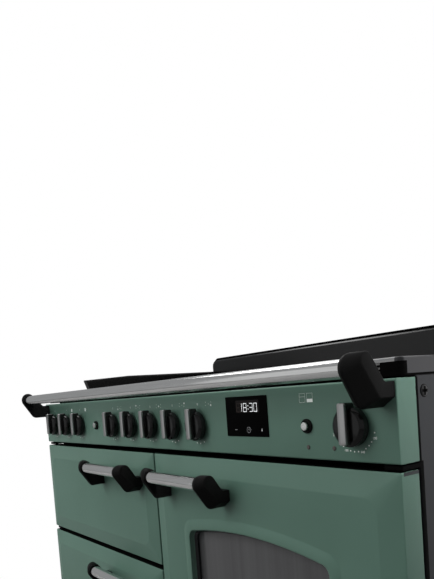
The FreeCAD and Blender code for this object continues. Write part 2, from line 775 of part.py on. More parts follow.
def induction_coils():
    height = sz.hob_height - sz.glass_drop - sz.glass_sheet - sz.coil_depth
    middle = front_y + sz.trim_setback + sz.trim_bar + glass_depth() / 2
    spots = [
        (-1, -1, sz.coil_small), (-1, 1, sz.coil_medium), (0, 0, sz.coil_large),
        (1, -1, sz.coil_medium), (1, 1, sz.coil_small),
    ]
    coils = []
    for number, (across, along, diameter) in enumerate(spots, 1):
        start = (sz.coil_spread * across, middle + sz.coil_stagger * along, height)
        disc = rod("coil_disc_%d" % number, "Z", start, diameter / 2, sz.coil_depth)
        hole = rod("coil_hole_%d" % number, "Z", start, sz.coil_bore / 2, sz.coil_depth)
        coils.append(cut("coil_%d" % number, disc, hole))
    return group("induction_coils", coils)


def rear_upstand():
    # hollow duct across the back with a sloped vent band along its top front edge
    duct = new_body("rear_upstand", 0, upstand_y, sz.hob_height)
    high = sz.upstand_height
    slope = sz.upstand_slope
    wall = sz.sheet_steel
    profile = [(0, 0), (sz.upstand_depth, 0), (sz.upstand_depth, high), (slope, high), (0, high - slope)]
    outline = draw(duct, "upstand_outline", "YZ", [profile], -half_width)
    pad(duct, "upstand_block", outline, sz.overall_width)

    def top_corner(edge):
        ends = [v.Point for v in edge.Vertexes]
        end_face = all(abs(abs(p.x) - half_width.number) < 0.01 for p in ends)
        return end_face and all(p.z > (high - slope).number - 0.01 for p in ends)

    round_edges(duct, "upstand_corners", sz.upstand_corner, top_corner)
    inside = sz.overall_width - sz.duct_inset * 2
    hollow = rectangle(inside, sz.upstand_depth - wall * 2, 0, sz.upstand_depth / 2)
    pocket(duct, "duct", draw(duct, "duct_outline", "XY", [hollow]), high - slope - wall, True)
    count = 43
    first = sz.vent_pitch * (1 - count) / 2
    slot = rectangle(sz.vent_width, sz.vent_depth, first, sz.vent_setback + sz.vent_depth / 2)
    vent = draw(duct, "vent_outline", "XY", [slot], high)
    vents = pocket(duct, "vent", vent, slope + wall * 3)
    row(duct, "vents", vents, "H_Axis", count, sz.vent_pitch)
    return duct


def side_wing(name, side):
    # low guard beside the hob, its front end cut back under the top
    length = upstand_y - front_y - sz.wing_start
    wing = new_body(name, side * (half_width - sz.wing_width / 2), upstand_y, sz.hob_height)
    high = sz.wing_height
    profile = [
        (0, 0), (0, high), (sz.wing_fall - length, high), (-length, high - sz.wing_drop),
        (sz.wing_rake - length, 0),
    ]
    outline = draw(wing, name + "_outline", "YZ", [profile], -sz.wing_width / 2)
    pad(wing, name + "_plate", outline, sz.wing_width)

    def long_edge(edge):
        ends = [v.Point for v in edge.Vertexes]
        top = all(p.z > (high - sz.wing_drop).number - 1 for p in ends)
        return top and abs(ends[0].x - ends[1].x) < 0.01 and abs(ends[0].y - ends[1].y) > 1

    round_edges(wing, name + "_soft", sz.wing_round, long_edge)
    return wing


knob_steps = (-6.2, -5.2, -4.2, -2, -1, 0, 1, 2, 6.2)
button_steps = (-3.1, 5.2)
lens_steps = (5.2, 5.77)
clock_step = 3.62


def control_panel():
    # folded enamelled front, open at the back, pierced for the controls
    panel = new_body("control_panel", 0, front_y, panel_bottom)
    middle = sz.panel_height / 2
    outline = draw(panel, "panel_outline", "XZ", [rectangle(sz.overall_width, sz.panel_height, 0, middle)])
    pad(panel, "panel_block", outline, sz.panel_depth, True)

    def front_edge(edge):
        return all(abs(v.Point.y) < 0.01 for v in edge.Vertexes)

    round_edges(panel, "panel_soft_edges", sz.panel_round, front_edge)
    wall = sz.sheet_steel
    inside = rectangle(sz.overall_width - wall * 2, sz.panel_height - wall * 2, 0, middle)
    hollow = draw(panel, "panel_inside", "XZ", [inside], -sz.panel_depth)
    pocket(panel, "panel_hollow", hollow, sz.panel_depth - wall, True)
    holes = start_sketch(panel, "panel_holes", "XZ")
    for step in knob_steps:
        draw_circle(holes, sz.knob_pitch * step, sz.knob_axis, sz.shaft_diameter / 2 + sz.running_clearance)
    for step in button_steps:
        draw_circle(holes, sz.knob_pitch * step, sz.knob_axis, sz.bezel_diameter / 2 - sz.bezel_lip)
    for step in lens_steps:
        draw_circle(holes, sz.knob_pitch * step, sz.lens_height, sz.lens_diameter / 2)
    clock_x = sz.knob_pitch * clock_step
    draw_loop(holes, rounded(sz.clock_width, sz.clock_height, sz.clock_corner, clock_x, sz.clock_axis))
    pocket(panel, "control_holes", holes, wall)
    return panel


def clock_display():
    clock = new_body("clock_display", sz.knob_pitch * clock_step, front_y, panel_bottom + sz.clock_axis)
    face = rounded(sz.clock_width, sz.clock_height, sz.clock_corner)
    outline = draw(clock, "clock_outline", "XZ", [face], sz.clock_proud)
    pad(clock, "clock_block", outline, sz.clock_depth, True)

    def front_edge(edge):
        return all(abs(v.Point.y + sz.clock_proud.number) < 0.01 for v in edge.Vertexes)

    round_edges(clock, "clock_soft", sz.clock_bevel, front_edge, "Chamfer")
    return clock


def indicator_lenses():
    lens = new_body("lens")
    radius = sz.lens_diameter / 2
    corners = [
        (-sz.lens_proud, 0), (-sz.lens_proud, radius - sz.lens_bevel),
        (sz.lens_bevel - sz.lens_proud, radius), (sz.lens_length, radius), (sz.lens_length, 0),
    ]
    revolve(lens, "lens_turned", draw(lens, "lens_outline", "YZ", [corners]), "H_Axis")
    members = []
    for number, step in enumerate(lens_steps, 1):
        height = panel_bottom + sz.lens_height
        members.append(copy_at("lens_%d" % number, lens, sz.knob_pitch * step, front_y, height))
    return group("indicator_lenses", members)


def button_bezels():
    bezel = new_body("bezel")
    bore = sz.button_diameter / 2 + sz.running_clearance
    rim = sz.bezel_diameter / 2
    neck = rim - sz.bezel_lip
    corners = [
        (-sz.bezel_proud, bore), (-sz.bezel_proud, rim - sz.bezel_bevel),
        (sz.bezel_bevel - sz.bezel_proud, rim), (0, rim), (0, neck),
        (sz.bezel_length, neck), (sz.bezel_length, bore),
    ]
    revolve(bezel, "bezel_turned", draw(bezel, "bezel_outline", "YZ", [corners]), "H_Axis")
    members = []
    for number, step in enumerate(button_steps, 1):
        members.append(copy_at("bezel_%d" % number, bezel, sz.knob_pitch * step, front_y, knob_height))
    return group("button_bezels", members)


def push_button(name, step):
    # cap that slides in its bezel, held from behind by a collar
    button = new_body(name, sz.knob_pitch * step, front_y, knob_height)
    radius = sz.button_diameter / 2
    bevel = sz.button_bevel
    collar = sz.bezel_length + sz.collar_gap
    wide = radius + sz.collar_width
    corners = [
        (-sz.button_reach, 0), (-sz.button_reach, radius - bevel), (bevel - sz.button_reach, radius),
        (collar, radius), (collar, wide), (collar + sz.collar_depth, wide), (collar + sz.collar_depth, 0),
    ]
    revolve(button, name + "_turned", draw(button, name + "_outline", "YZ", [corners]), "H_Axis")
    return button


def knob_body():
    # round bevelled base with its shaft, and a tapering grip bar across it whose pointer end overhangs
    knob = new_body("knob")
    rim = sz.knob_diameter / 2
    shaft = sz.shaft_diameter / 2
    back = -sz.knob_gap
    face = -sz.knob_gap - sz.knob_depth
    corners = [
        (sz.shaft_length, 0), (sz.shaft_length, shaft), (back, shaft), (back, rim),
        (back - sz.knob_skirt, rim, sz.knob_bevel_round, -1), (face, rim - sz.knob_bevel), (face, 0),
    ]
    revolve(knob, "knob_turned", draw(knob, "knob_outline", "YZ", [corners]), "H_Axis")
    lip = sz.grip_lip * 2
    foot_outline = rounded(sz.grip_width, sz.grip_length, sz.grip_corner, size(0), sz.grip_shift)
    wide = sz.strip_width + lip
    crown_outline = rounded(wide, sz.grip_length + lip, sz.grip_corner, size(0), sz.grip_shift)
    foot = draw(knob, "grip_foot_outline", "XZ", [foot_outline], sz.grip_foot)
    crown = draw(knob, "grip_crown", "XZ", [crown_outline], sz.knob_reach - sz.strip_sheet)
    loft(knob, "grip", "AdditiveLoft", foot, crown)
    return knob


def knob_strip():
    strip = new_body("knob_strip")
    plate = rounded(sz.strip_width, sz.grip_length, sz.strip_corner, size(0), sz.grip_shift)
    outline = draw(strip, "strip_outline", "XZ", [plate], sz.knob_reach - sz.strip_sheet)
    pad(strip, "strip_plate", outline, sz.strip_sheet)

    def front_edge(edge):
        return all(abs(v.Point.y + sz.knob_reach.number) < 0.01 for v in edge.Vertexes)

    round_edges(strip, "strip_soft", sz.strip_bevel, front_edge, "Chamfer")
    return strip


def knobs():
    pair = group("knob_pair", [knob_body(), knob_strip()])
    made = []
    for number, step in enumerate(knob_steps, 1):
        made.append(copy_at("knob_%d" % number, pair, sz.knob_pitch * step, front_y, knob_height))
    return made


def switch_bodies():
    switches = []
    half = sz.switch_width / 2
    for number, step in enumerate(knob_steps, 1):
        x = sz.knob_pitch * step
        start = front_y + sz.sheet_steel
        extent = (sz.switch_width, sz.switch_depth, sz.switch_width)
        block = box("switch_block_%d" % number, (x - half, start, knob_height - half), extent)
        bore = sz.shaft_diameter / 2 + sz.running_clearance
        hole = rod("switch_bore_%d" % number, "Y", (x, start, knob_height), bore, sz.switch_depth)
        switches.append(cut("switch_%d" % number, block, hole))
    return group("switch_bodies", switches)


def tangent_turns(first, first_radius, second, second_radius, crossing):
    # direction square to the line that touches both circles
    way = second - first
    reach = first_radius + second_radius if crossing else first_radius - second_radius
    swing = math.acos(reach / way.Length)
    return math.atan2(way.y, way.x) + (swing if crossing else -swing)


def arm_section(arm, name, at, nose, top, low, throat_back, heel):
    # section of an arm: round nose on the bar, throat and heel corners, foot on the mounting face
    sketch = start_sketch(arm, name, "YZ", at)
    vec = FreeCAD.Vector
    up = vec(0, 0, 1)
    nose_u, nose_v, nose_radius = [size(part) for part in nose]
    heel_back, heel_radius = heel
    bend_radius = sz.throat_radius
    centre = vec(nose_u.number, nose_v.number, 0)
    throat = vec(-throat_back.number, (bend_radius - top).number, 0)
    corner = vec(-heel_back.number, (heel_radius - low).number, 0)
    back_turn = tangent_turns(centre, nose_radius.number, throat, bend_radius.number, True)
    front_turn = tangent_turns(centre, nose_radius.number, corner, heel_radius.number, False) + 2 * math.pi

    def touch(middle, radius, turn):
        return middle + vec(math.cos(turn), math.sin(turn), 0) * radius.number

    down = math.pi * 1.5
    throat_circle = Part.Circle(throat, up, bend_radius.number)
    nose_circle = Part.Circle(centre, up, nose_radius.number)
    heel_circle = Part.Circle(corner, up, heel_radius.number)
    throat_end = touch(throat, bend_radius, back_turn + math.pi)
    foot_top = vec(0, -top.number, 0)
    foot_low = vec(0, -low.number, 0)
    sketch.addGeometry([
        Part.LineSegment(foot_top, touch(throat, bend_radius, down)),
        Part.ArcOfCircle(throat_circle, back_turn + math.pi, down),
        Part.LineSegment(throat_end, touch(centre, nose_radius, back_turn)),
        Part.ArcOfCircle(nose_circle, back_turn, front_turn),
        Part.LineSegment(touch(centre, nose_radius, front_turn), touch(corner, heel_radius, front_turn)),
        Part.ArcOfCircle(heel_circle, front_turn, down),
        Part.LineSegment(touch(corner, heel_radius, down), foot_low),
        Part.LineSegment(foot_low, foot_top),
    ], False)
    joins = [(0, 2, 1, 2), (1, 1, 2, 1), (2, 2, 3, 1), (3, 2, 4, 1), (4, 2, 5, 1), (5, 2, 6, 1)]
    sketch.addConstraint([Sketcher.Constraint("Tangent", *join) for join in joins])
    sketch.addConstraint([
        Sketcher.Constraint("Coincident", 6, 2, 7, 1),
        Sketcher.Constraint("Coincident", 7, 2, 0, 1),
        Sketcher.Constraint("Horizontal", 0),
        Sketcher.Constraint("Horizontal", 6),
    ])
    fix_point(sketch, 3, 3, nose_u, nose_v)
    fix_point(sketch, 0, 1, 0, -top)
    fix_point(sketch, 7, 1, 0, -low)
    for geometry, radius in ((1, bend_radius), (3, nose_radius), (5, heel_radius)):
        fix_radius(sketch, geometry, radius)
    for geometry, position, length in ((0, 2, -throat_back), (6, 1, -heel_back)):
        rule = Sketcher.Constraint("DistanceX", -1, 1, geometry, position, length.number)
        bind(sketch, "Constraints[%d]" % sketch.addConstraint(rule), length)
    return sketch


def arm_sizes(stem):
    # the sizes of a handrail or handle bracket under common names
    names = (
        "offset", "nose", "tip", "tip_back", "foot_top", "foot_low", "foot_cut", "heel", "heel_back",
        "tip_heel_back", "throat_back", "tip_width", "shank_width",
    )
    sizes = {name: getattr(sz, "%s_%s" % (stem, name)) for name in names}
    return types.SimpleNamespace(**sizes)


def arm_width(stem):
    arm = arm_sizes(stem)
    return arm.tip_width + arm.shank_width


def bracket(name, stem, bar, socket_side):
    # moulded arm, largest in its middle and drawn in to both ends, with a socket for the bar
    arm = new_body(name)
    part = arm_sizes(stem)
    width = arm_width(stem)
    low = part.foot_low - part.foot_cut
    end_heel = (part.tip_heel_back, sz.end_heel)
    tip = (part.tip_back - part.offset, part.nose - part.tip, part.tip)
    shank = (-part.offset, 0, bar / 2 + sz.socket_wall)
    tip_at, keel_at, shank_at = size(0), part.tip_width, width
    if socket_side < 0:
        tip_at, keel_at, shank_at = width, part.shank_width, size(0)
    sections = [
        arm_section(arm, name + "_tip", tip_at, tip, part.foot_top, low, part.throat_back, end_heel),
        arm_section(arm, name + "_keel", keel_at, (-part.offset, 0, part.nose), part.foot_top,
                    part.foot_low, part.throat_back, (part.heel_back, part.heel)),
        arm_section(arm, name + "_shank", shank_at, shank, part.foot_top, low, part.throat_back, end_heel),
    ]
    loft(arm, name + "_arm", "AdditiveLoft", *sections)
    socket = start_sketch(arm, name + "_socket", "YZ", shank_at)
    draw_circle(socket, -part.offset, 0, bar / 2)
    pocket(arm, name + "_bore", socket, sz.socket_depth, socket_side < 0)
    return arm


def handrail():
    brackets_apart = sz.overall_width - (sz.rail_inset + arm_width("rail")) * 2
    length = brackets_apart + sz.socket_depth * 2
    start = (-length / 2, front_y - sz.rail_offset, panel_top + sz.rail_rise)
    return tube("handrail", start, sz.rail_diameter, length)


def handrail_brackets():
    left = bracket("left_rail_bracket", "rail", sz.rail_diameter, 1)
    right = bracket("right_rail_bracket", "rail", sz.rail_diameter, -1)
    outer = half_width - sz.rail_inset
    height = panel_top + sz.rail_rise
    return group("handrail_brackets", [
        copy_at("rail_bracket_1", left, -outer, front_y, height),
        copy_at("rail_bracket_2", right, outer - arm_width("rail"), front_y, height),
    ])


def handle_masters():
    return (
        bracket("left_handle_bracket", "handle", sz.bar_diameter, 1),
        bracket("right_handle_bracket", "handle", sz.bar_diameter, -1),
    )


def handle(stem, masters, left, top):
    # bar and two brackets; left is the outer end of the left bracket
    face = front_y - sz.field_rise
    height = top - sz.handle_drop
    width = arm_width("handle")
    left_arm = copy_at(stem + "_bracket_1", masters[0], left, face, height)
    right_arm = copy_at(stem + "_bracket_2", masters[1], left + sz.handle_length - width, face, height)
    inset = width - sz.socket_depth
    start = (left + inset, face - sz.handle_offset, height)
    bar = tube(stem + "_bar", start, sz.bar_diameter, sz.handle_length - inset * 2)
    return [bar, group(stem + "_brackets", [left_arm, right_arm])]


def window_outline(width, low, high, rise, corner):
    # arched window: straight sides and foot, rounded corners, top as one arc
    half = width / 2
    run = half - corner
    arch = (run * run + rise * rise) / (rise * 2)
    shoulder = high - rise
    return [
        (-half + corner, low), (half - corner, low, corner, 1),
        (half, low + corner), (half, shoulder - corner, corner, 1),
        (run, shoulder, arch, 1), (-run, shoulder, corner, 1),
        (-half, shoulder - corner), (-half, low + corner, corner, 1),
    ]


def front_skin(name, height, x, z, hinge_side, window):
    # pressed front: edge box, sloped band up to a raised field, hollow behind
    skin = new_body(name, x, front_y, z)
    width = column_width
    outer = rounded(width, height, sz.edge_round)
    pad(skin, name + "_edge", draw(skin, name + "_edge_outline", "XZ", [outer]), sz.door_depth, True)
    field = rounded(width - sz.bevel_width * 2, height - sz.bevel_width * 2, sz.field_corner)
    foot = draw(skin, name + "_band_foot", "XZ", [outer])
    crown = draw(skin, name + "_field", "XZ", [field], sz.field_rise)
    loft(skin, name + "_band", "AdditiveLoft", foot, crown)
    if window:
        cut_window(skin, name, height)
    wall = sz.sheet_steel
    inside = rectangle(width - wall * 2, height - wall * 2)
    hollow = draw(skin, name + "_inside", "XZ", [inside], -sz.door_depth)
    pocket(skin, name + "_hollow", hollow, sz.door_depth - sz.face_plate, True)
    if hinge_side:
        pin = start_sketch(skin, name + "_pin", "XY", height / 2)
        axis_x = hinge_side * (width / 2 - sz.hinge_inset)
        draw_circle(pin, axis_x, sz.door_depth / 2, sz.pin_diameter / 2 + sz.running_clearance)
        pocket(skin, name + "_pin_holes", pin, height)
    return skin


def cut_window(skin, name, height):
    low = sz.window_foot - height / 2
    high = height / 2 - sz.window_drop
    rim = sz.rim_width
    mouth = window_outline(sz.window_width, low, high, sz.window_rise, sz.window_corner)
    clear = sz.window_width - rim * 2
    throat = window_outline(clear, low + rim, high - rim, sz.throat_rise, sz.throat_corner)
    mouth_sketch = draw(skin, name + "_mouth", "XZ", [mouth], sz.field_rise)
    throat_sketch = draw(skin, name + "_throat", "XZ", [throat], sz.field_rise - sz.rim_depth)
    loft(skin, name + "_rim", "SubtractiveLoft", mouth_sketch, throat_sketch)
    through = draw(skin, name + "_sight", "XZ", [throat], sz.field_rise - sz.rim_depth)
    pocket(skin, name + "_window", through, sz.face_plate)


def pane_size(height):
    wide = sz.window_width - sz.rim_width * 2 + sz.pane_lap * 2
    tall = height - sz.window_drop - sz.window_foot - sz.rim_width * 2 + sz.pane_lap * 2
    lift = (sz.window_foot - sz.window_drop) / 2
    return wide, tall, lift


def door_liner(name, height, x, z, window):
    # inner sheet that closes the hollow of a front
    liner = new_body(name, x, front_y + sz.door_depth - sz.liner_sheet, z)
    wall = sz.sheet_steel
    loops = [rectangle(column_width - wall * 2, height - wall * 2)]
    if window:
        wide, tall, lift = pane_size(height)
        loops.append(rounded(wide - sz.pane_lap * 2, tall - sz.pane_lap * 2, sz.liner_corner, 0, lift))
    pad(liner, name + "_sheet", draw(liner, name + "_outline", "XZ", loops), sz.liner_sheet, True)
    return liner


def door_glass(name, height, x, z):
    wide, tall, lift = pane_size(height)
    corner_x = x - wide / 2
    corner_z = z + lift - tall / 2
    outer_y = front_y + sz.face_plate
    inner_y = front_y + sz.door_depth - sz.liner_sheet - sz.pane_sheet
    extent = (wide, sz.pane_sheet, tall)
    outer = box(name + "_outer", (corner_x, outer_y, corner_z), extent)
    inner = box(name + "_inner", (corner_x, inner_y, corner_z), extent)
    return group(name, [outer, inner])


def oven_door(stem, side, z, masters):
    x = side * column_x
    top = z + tall_front / 2
    made = [front_skin(stem + "_skin", tall_front, x, z, side, True)]
    made.append(door_liner(stem + "_liner", tall_front, x, z, True))
    made.append(door_glass(stem + "_glass", tall_front, x, z))
    return made + handle(stem + "_handle", masters, handle_left(side), top)


def handle_left(side):
    edge = sz.column_gap / 2 + sz.handle_inset
    return edge if side > 0 else -edge - sz.handle_length


def grill_door(masters):
    made = [front_skin("grill_door_skin", sz.short_front, -column_x, short_left_z, -1, False)]
    made.append(door_liner("grill_door_liner", sz.short_front, -column_x, short_left_z, False))
    return made + handle("grill_door_handle", masters, handle_left(-1), front_top)


def drawer(masters):
    front = front_skin("drawer_front", sz.short_front, column_x, short_right_z, 0, False)
    made = [front, drawer_box()]
    left = column_x - sz.handle_length / 2
    return made + handle("drawer_handle", masters, left, sz.front_bottom + sz.short_front)


def drawer_box():
    # tray of spot-welded sheets: floor, sides, back, and a front sheet that closes the drawer front
    wall = sz.sheet_steel
    length = sz.drawer_length + sz.cabinet_front - sz.door_depth
    rise = sz.short_front / 2 - sz.drawer_lift
    inside = sz.drawer_width - wall * 2
    side = (sz.drawer_width - wall) / 2
    face = rectangle(column_width - wall * 2, sz.short_front - wall * 2, 0, rise)
    cross = sz.drawer_height - wall
    standing = wall + cross / 2
    sheets = [
        ("tray_face", [face], size(0), -sz.liner_sheet),
        ("tray_floor", [rectangle(sz.drawer_width, wall, 0, wall / 2)], size(0), length),
        ("tray_left", [rectangle(wall, cross, -side, standing)], size(0), length),
        ("tray_right", [rectangle(wall, cross, side, standing)], size(0), length),
        ("tray_back", [rectangle(inside, cross, 0, standing)], length - wall, wall),
    ]
    members = []
    for name, loops, start, run in sheets:
        tray = new_body(name, column_x, front_y + sz.door_depth, drawer_z())
        outline = draw(tray, name + "_outline", "XZ", loops, -start)
        if run.number > 0:
            pad(tray, name + "_sheet", outline, run, True)
        else:
            pad(tray, name + "_sheet", outline, -run)
        members.append(tray)
    return group("drawer_box", members)


def drawer_runners():
    # angles on the base pan, each with a ledge under the edge of the tray
    runners = []
    gap = sz.slide_clearance
    wall = sz.sheet_steel
    ledge_top = drawer_z() - gap
    for side in (-1, 1):
        name = "runner_%d" % (len(runners) + 1)
        angle = new_body(name, column_x, inside_y, 0)
        near = side * (sz.drawer_width / 2 + gap)
        far = side * (sz.drawer_width / 2 + gap + wall)
        foot = side * (sz.drawer_width / 2 + gap + sz.runner_foot)
        lip = side * (sz.drawer_width / 2 - sz.runner_lip)
        top = ledge_top + sz.runner_height
        corners = [
            (foot, base_top), (near, base_top), (near, ledge_top - wall), (lip, ledge_top - wall),
            (lip, ledge_top), (near, ledge_top), (near, top), (far, top),
            (far, base_top + wall), (foot, base_top + wall),
        ]
        pad(angle, name + "_angle", draw(angle, name + "_outline", "XZ", [corners]), sz.drawer_length, True)
        runners.append(angle)
    return group("drawer_runners", runners)


def cavity_liner(name, height, depth, x, z, fan):
    # pressed tub behind the frame with a flange round its mouth
    tub = new_body(name, x, inside_y, z)
    wall = sz.sheet_steel
    width = sz.cavity_width
    lip = sz.flange_width * 2 + wall * 2
    flange = rectangle(width + lip, height + lip)
    pad(tub, name + "_flange", draw(tub, name + "_flange_outline", "XZ", [flange]), wall, True)
    outer = rounded(width + wall * 2, height + wall * 2, sz.cavity_corner + wall)
    pad(tub, name + "_block", draw(tub, name + "_outside", "XZ", [outer]), depth + wall, True)
    mouth = draw(tub, name + "_inside", "XZ", [rounded(width, height, sz.cavity_corner)])
    pocket(tub, name + "_cavity", mouth, depth)
    if fan:
        hole = start_sketch(tub, name + "_shaft_hole", "XZ", -depth)
        draw_circle(hole, 0, 0, sz.shaft_hole / 2)
        pocket(tub, name + "_hole", hole, wall)
    return tub


def oven_fan(name, x, z):
    # impeller in front of the oven's rear wall, its shaft running in the motor behind
    fan = new_body(name, x, cavity_back, z)
    wheel = sz.fan_diameter / 2
    shaft = sz.fan_shaft / 2
    plate = -sz.fan_back
    front = plate - sz.fan_plate
    end = sz.sheet_steel + sz.fan_reach
    nose = plate - sz.fan_depth
    corners = [
        (end, 0), (end, shaft), (plate, shaft), (plate, wheel), (front, wheel), (front, sz.fan_hub / 2),
        (nose, sz.fan_nose / 2), (nose, 0),
    ]
    revolve(fan, name + "_wheel", draw(fan, name + "_outline", "YZ", [corners]), "H_Axis")
    tip = wheel - sz.blade_end
    blade = rectangle(sz.blade_sheet, tip - sz.blade_start, 0, (tip + sz.blade_start) / 2)
    blade_sketch = draw(fan, name + "_blade_outline", "XZ", [blade], sz.fan_back + sz.fan_plate / 2)
    vane = pad(fan, name + "_blade", blade_sketch, sz.fan_depth - sz.fan_plate / 2)
    ring(fan, name + "_blades", vane, "N_Axis", 10)
    return fan


def fan_cover(name, x, z):
    # tray over the fan with intake slots in the middle and outlets at its ends
    cover = new_body(name, x, cavity_back, z)
    wall = sz.sheet_steel
    outer = rounded(sz.cover_width, sz.cover_height, sz.cover_corner)
    pad(cover, name + "_block", draw(cover, name + "_outline", "XZ", [outer]), sz.fan_zone)
    inner = rounded(sz.cover_width - wall * 2, sz.cover_height - wall * 2, sz.cover_corner - wall)
    pocket(cover, name + "_hollow", draw(cover, name + "_inside", "XZ", [inner]), sz.fan_zone - wall, True)
    wide = sz.intake_width
    slot = rounded(wide, sz.intake_length, wide * 0.48, 0, sz.intake_place)
    intake_sketch = draw(cover, name + "_intake_outline", "XZ", [slot], sz.fan_zone)
    intake = pocket(cover, name + "_intake", intake_sketch, wall)
    ring(cover, name + "_intakes", intake, "N_Axis", 12)
    vent = rectangle(sz.outlet_width, sz.outlet_height, -sz.fan_zone / 2, 0)
    outlet = draw(cover, name + "_outlet_outline", "YZ", [vent], -sz.cover_width / 2)
    pocket(cover, name + "_outlets", outlet, sz.cover_width, True)
    return cover


def fan_motor(name, x, z):
    start = (x, cavity_back + sz.sheet_steel, z)
    drum = rod(name + "_drum", "Y", start, sz.motor_diameter / 2, sz.motor_depth)
    radius = sz.fan_shaft / 2 + sz.running_clearance
    bore = rod(name + "_bore", "Y", start, radius, sz.fan_reach + sz.shaft_end)
    return cut(name, drum, bore)


def ring_element(name, x, z):
    # ring round the fan with two leads into the rear wall
    middle = cavity_back - sz.ring_stand
    loop = doc.addObject("Part::Torus", name + "_loop")
    bind(loop, "Radius1", sz.ring_diameter / 2)
    bind(loop, "Radius2", sz.element_diameter / 2)
    loop.Placement = FreeCAD.Placement(FreeCAD.Vector(), turns["Y"])
    place(loop, x, middle, z)
    leads = []
    for number, side in enumerate((-1, 1), 1):
        start = (x + side * sz.lead_spread, middle, z + sz.ring_diameter / 2)
        leads.append(rod("%s_lead_%d" % (name, number), "Y", start, sz.element_diameter / 2, sz.ring_stand))
    return fuse(name, [loop] + leads)


def grill_element():
    # serpentine rod under the roof of the grill, both ends in the rear wall
    level = short_left_z + sz.grill_height / 2 - sz.grill_drop
    element = new_body("grill_element", -column_x, inside_y, level)
    lane = sz.grill_lane
    turn = lane / 2
    far = sz.grill_depth - sz.grill_margin
    near = sz.grill_margin
    path = start_sketch(element, "grill_path", "XY")
    lanes = [lane * step for step in (-1.5, -0.5, 0.5, 1.5)]
    for number, x in enumerate(lanes):
        last = number == len(lanes) - 1
        start_y = sz.grill_depth if number == 0 or last else far
        ahead = number % 2 == 0
        ends = ((x, start_y), (x, near)) if ahead else ((x, near), (x, sz.grill_depth if last else far))
        draw_open(path, ends[0], ends[1])
        if not last:
            centre_y = near if ahead else far
            draw_turn(path, x, lanes[number + 1], centre_y, turn, ahead)
    section = start_sketch(element, "grill_section", "XZ", -sz.grill_depth)
    draw_circle(section, lanes[0], 0, sz.element_diameter / 2)
    pipe = element.newObject("PartDesign::AdditivePipe", "grill_pipe")
    pipe.Profile = section
    pipe.Spine = (path, ["Edge%d" % (number + 1) for number in range(path.GeometryCount)])
    return element


def draw_open(sketch, start, finish):
    ends = [FreeCAD.Vector(size(p[0]).number, size(p[1]).number, 0) for p in (start, finish)]
    line = sketch.addGeometry(Part.LineSegment(*ends), False)
    fix_point(sketch, line, 1, *start)
    fix_point(sketch, line, 2, *finish)


def draw_turn(sketch, left, right, level, radius, near):
    # half circle between two neighbouring lanes, bulging forwards at the near end
    start = FreeCAD.Vector(left.number, level.number, 0)
    finish = FreeCAD.Vector(right.number, level.number, 0)
    middle = (start + finish) / 2
    circle = Part.Circle(middle, FreeCAD.Vector(0, 0, 1), radius.number)
    begin, end = (math.pi, 2 * math.pi) if near else (0, math.pi)
    arc = sketch.addGeometry(Part.ArcOfCircle(circle, begin, end), False)
    ahead, behind = (1, 2) if near else (2, 1)
    fix_point(sketch, arc, 3, (left + right) / 2, level)
    fix_point(sketch, arc, ahead, left, level)
    rule = Sketcher.Constraint("DistanceY", -1, 1, arc, behind, level.number)
    bind(sketch, "Constraints[%d]" % sketch.addConstraint(rule), level)


def shelf_support(name, x, z, side):
    # wire ladder on a side wall of the oven
    radius = sz.wire_diameter / 2
    wall_x = x + side * (sz.cavity_width / 2 - radius - sz.support_gap)
    outer_rung = sz.shelf_pitch * 1.5
    tall = (outer_rung + sz.post_over) * 2
    wires = []
    for number, along in enumerate((sz.post_front, sz.post_back), 1):
        start = (wall_x, inside_y + along, z - tall / 2)
        wires.append(rod("%s_post_%d" % (name, number), "Z", start, radius, tall))
    for number, step in enumerate((-1.5, -0.5, 0.5, 1.5), 1):
        start = (wall_x, inside_y + sz.support_front, z + sz.shelf_pitch * step)
        wires.append(rod("%s_rung_%d" % (name, number), "Y", start, radius, sz.support_length))
    return fuse(name, wires)


def oven_shelf(name, x, z):
    # wire shelf lying on the rungs: cross wires and three long wires that join them
    radius = sz.wire_diameter / 2
    level = z - sz.shelf_pitch / 2 + sz.wire_diameter
    span = sz.cavity_width - sz.wire_diameter - sz.shelf_gap * 2
    front = inside_y + sz.shelf_front
    wires = []
    for number in range(7):
        start = (x - span / 2, front + sz.cross_start + sz.cross_pitch * number, level)
        wires.append(rod("%s_cross_%d" % (name, number + 1), "X", start, radius, span))
    for number, side in enumerate((-1, 0, 1), 1):
        start = (x + side * sz.long_spread, front, level)
        wires.append(rod("%s_long_%d" % (name, number), "Y", start, sz.shelf_wire / 2, sz.shelf_length))
    return fuse(name, wires)


def seal(name, height, x, z):
    # rectangular ring on the frame round a cavity mouth
    band = new_body(name, x, frame_y, z)
    margin = sz.seal_margin
    inner = rounded(sz.cavity_width + margin * 2, height + margin * 2, sz.seal_corner)
    reach = margin + sz.seal_width
    outer = rounded(sz.cavity_width + reach * 2, height + reach * 2, sz.seal_corner + sz.seal_width)
    thickness = sz.cabinet_front - sz.door_depth - sz.seal_gap
    pad(band, name + "_band", draw(band, name + "_outline", "XZ", [outer, inner]), thickness)
    return band


def hinge_block(name, side, middle, pins):
    # plate from the front frame into the gap between fronts, with a pin up, down or both
    axis_x = side * (half_width - sz.hinge_inset)
    axis_y = front_y + sz.door_depth / 2
    reach = frame_y - axis_y + sz.block_nose
    low = middle - sz.block_sheet / 2
    corner = (axis_x - sz.block_width / 2, frame_y - reach, low)
    members = [box(name + "_plate", corner, (sz.block_width, reach, sz.block_sheet))]
    for number, direction in enumerate(pins, 1):
        start = low if direction > 0 else low + sz.block_sheet - sz.pin_length - sz.block_sheet
        rise = sz.pin_length + sz.block_sheet
        pin = rod("%s_pin_%d" % (name, number), "Z", (axis_x, axis_y, start), sz.pin_diameter / 2, rise)
        members.append(pin)
    return fuse(name, members)


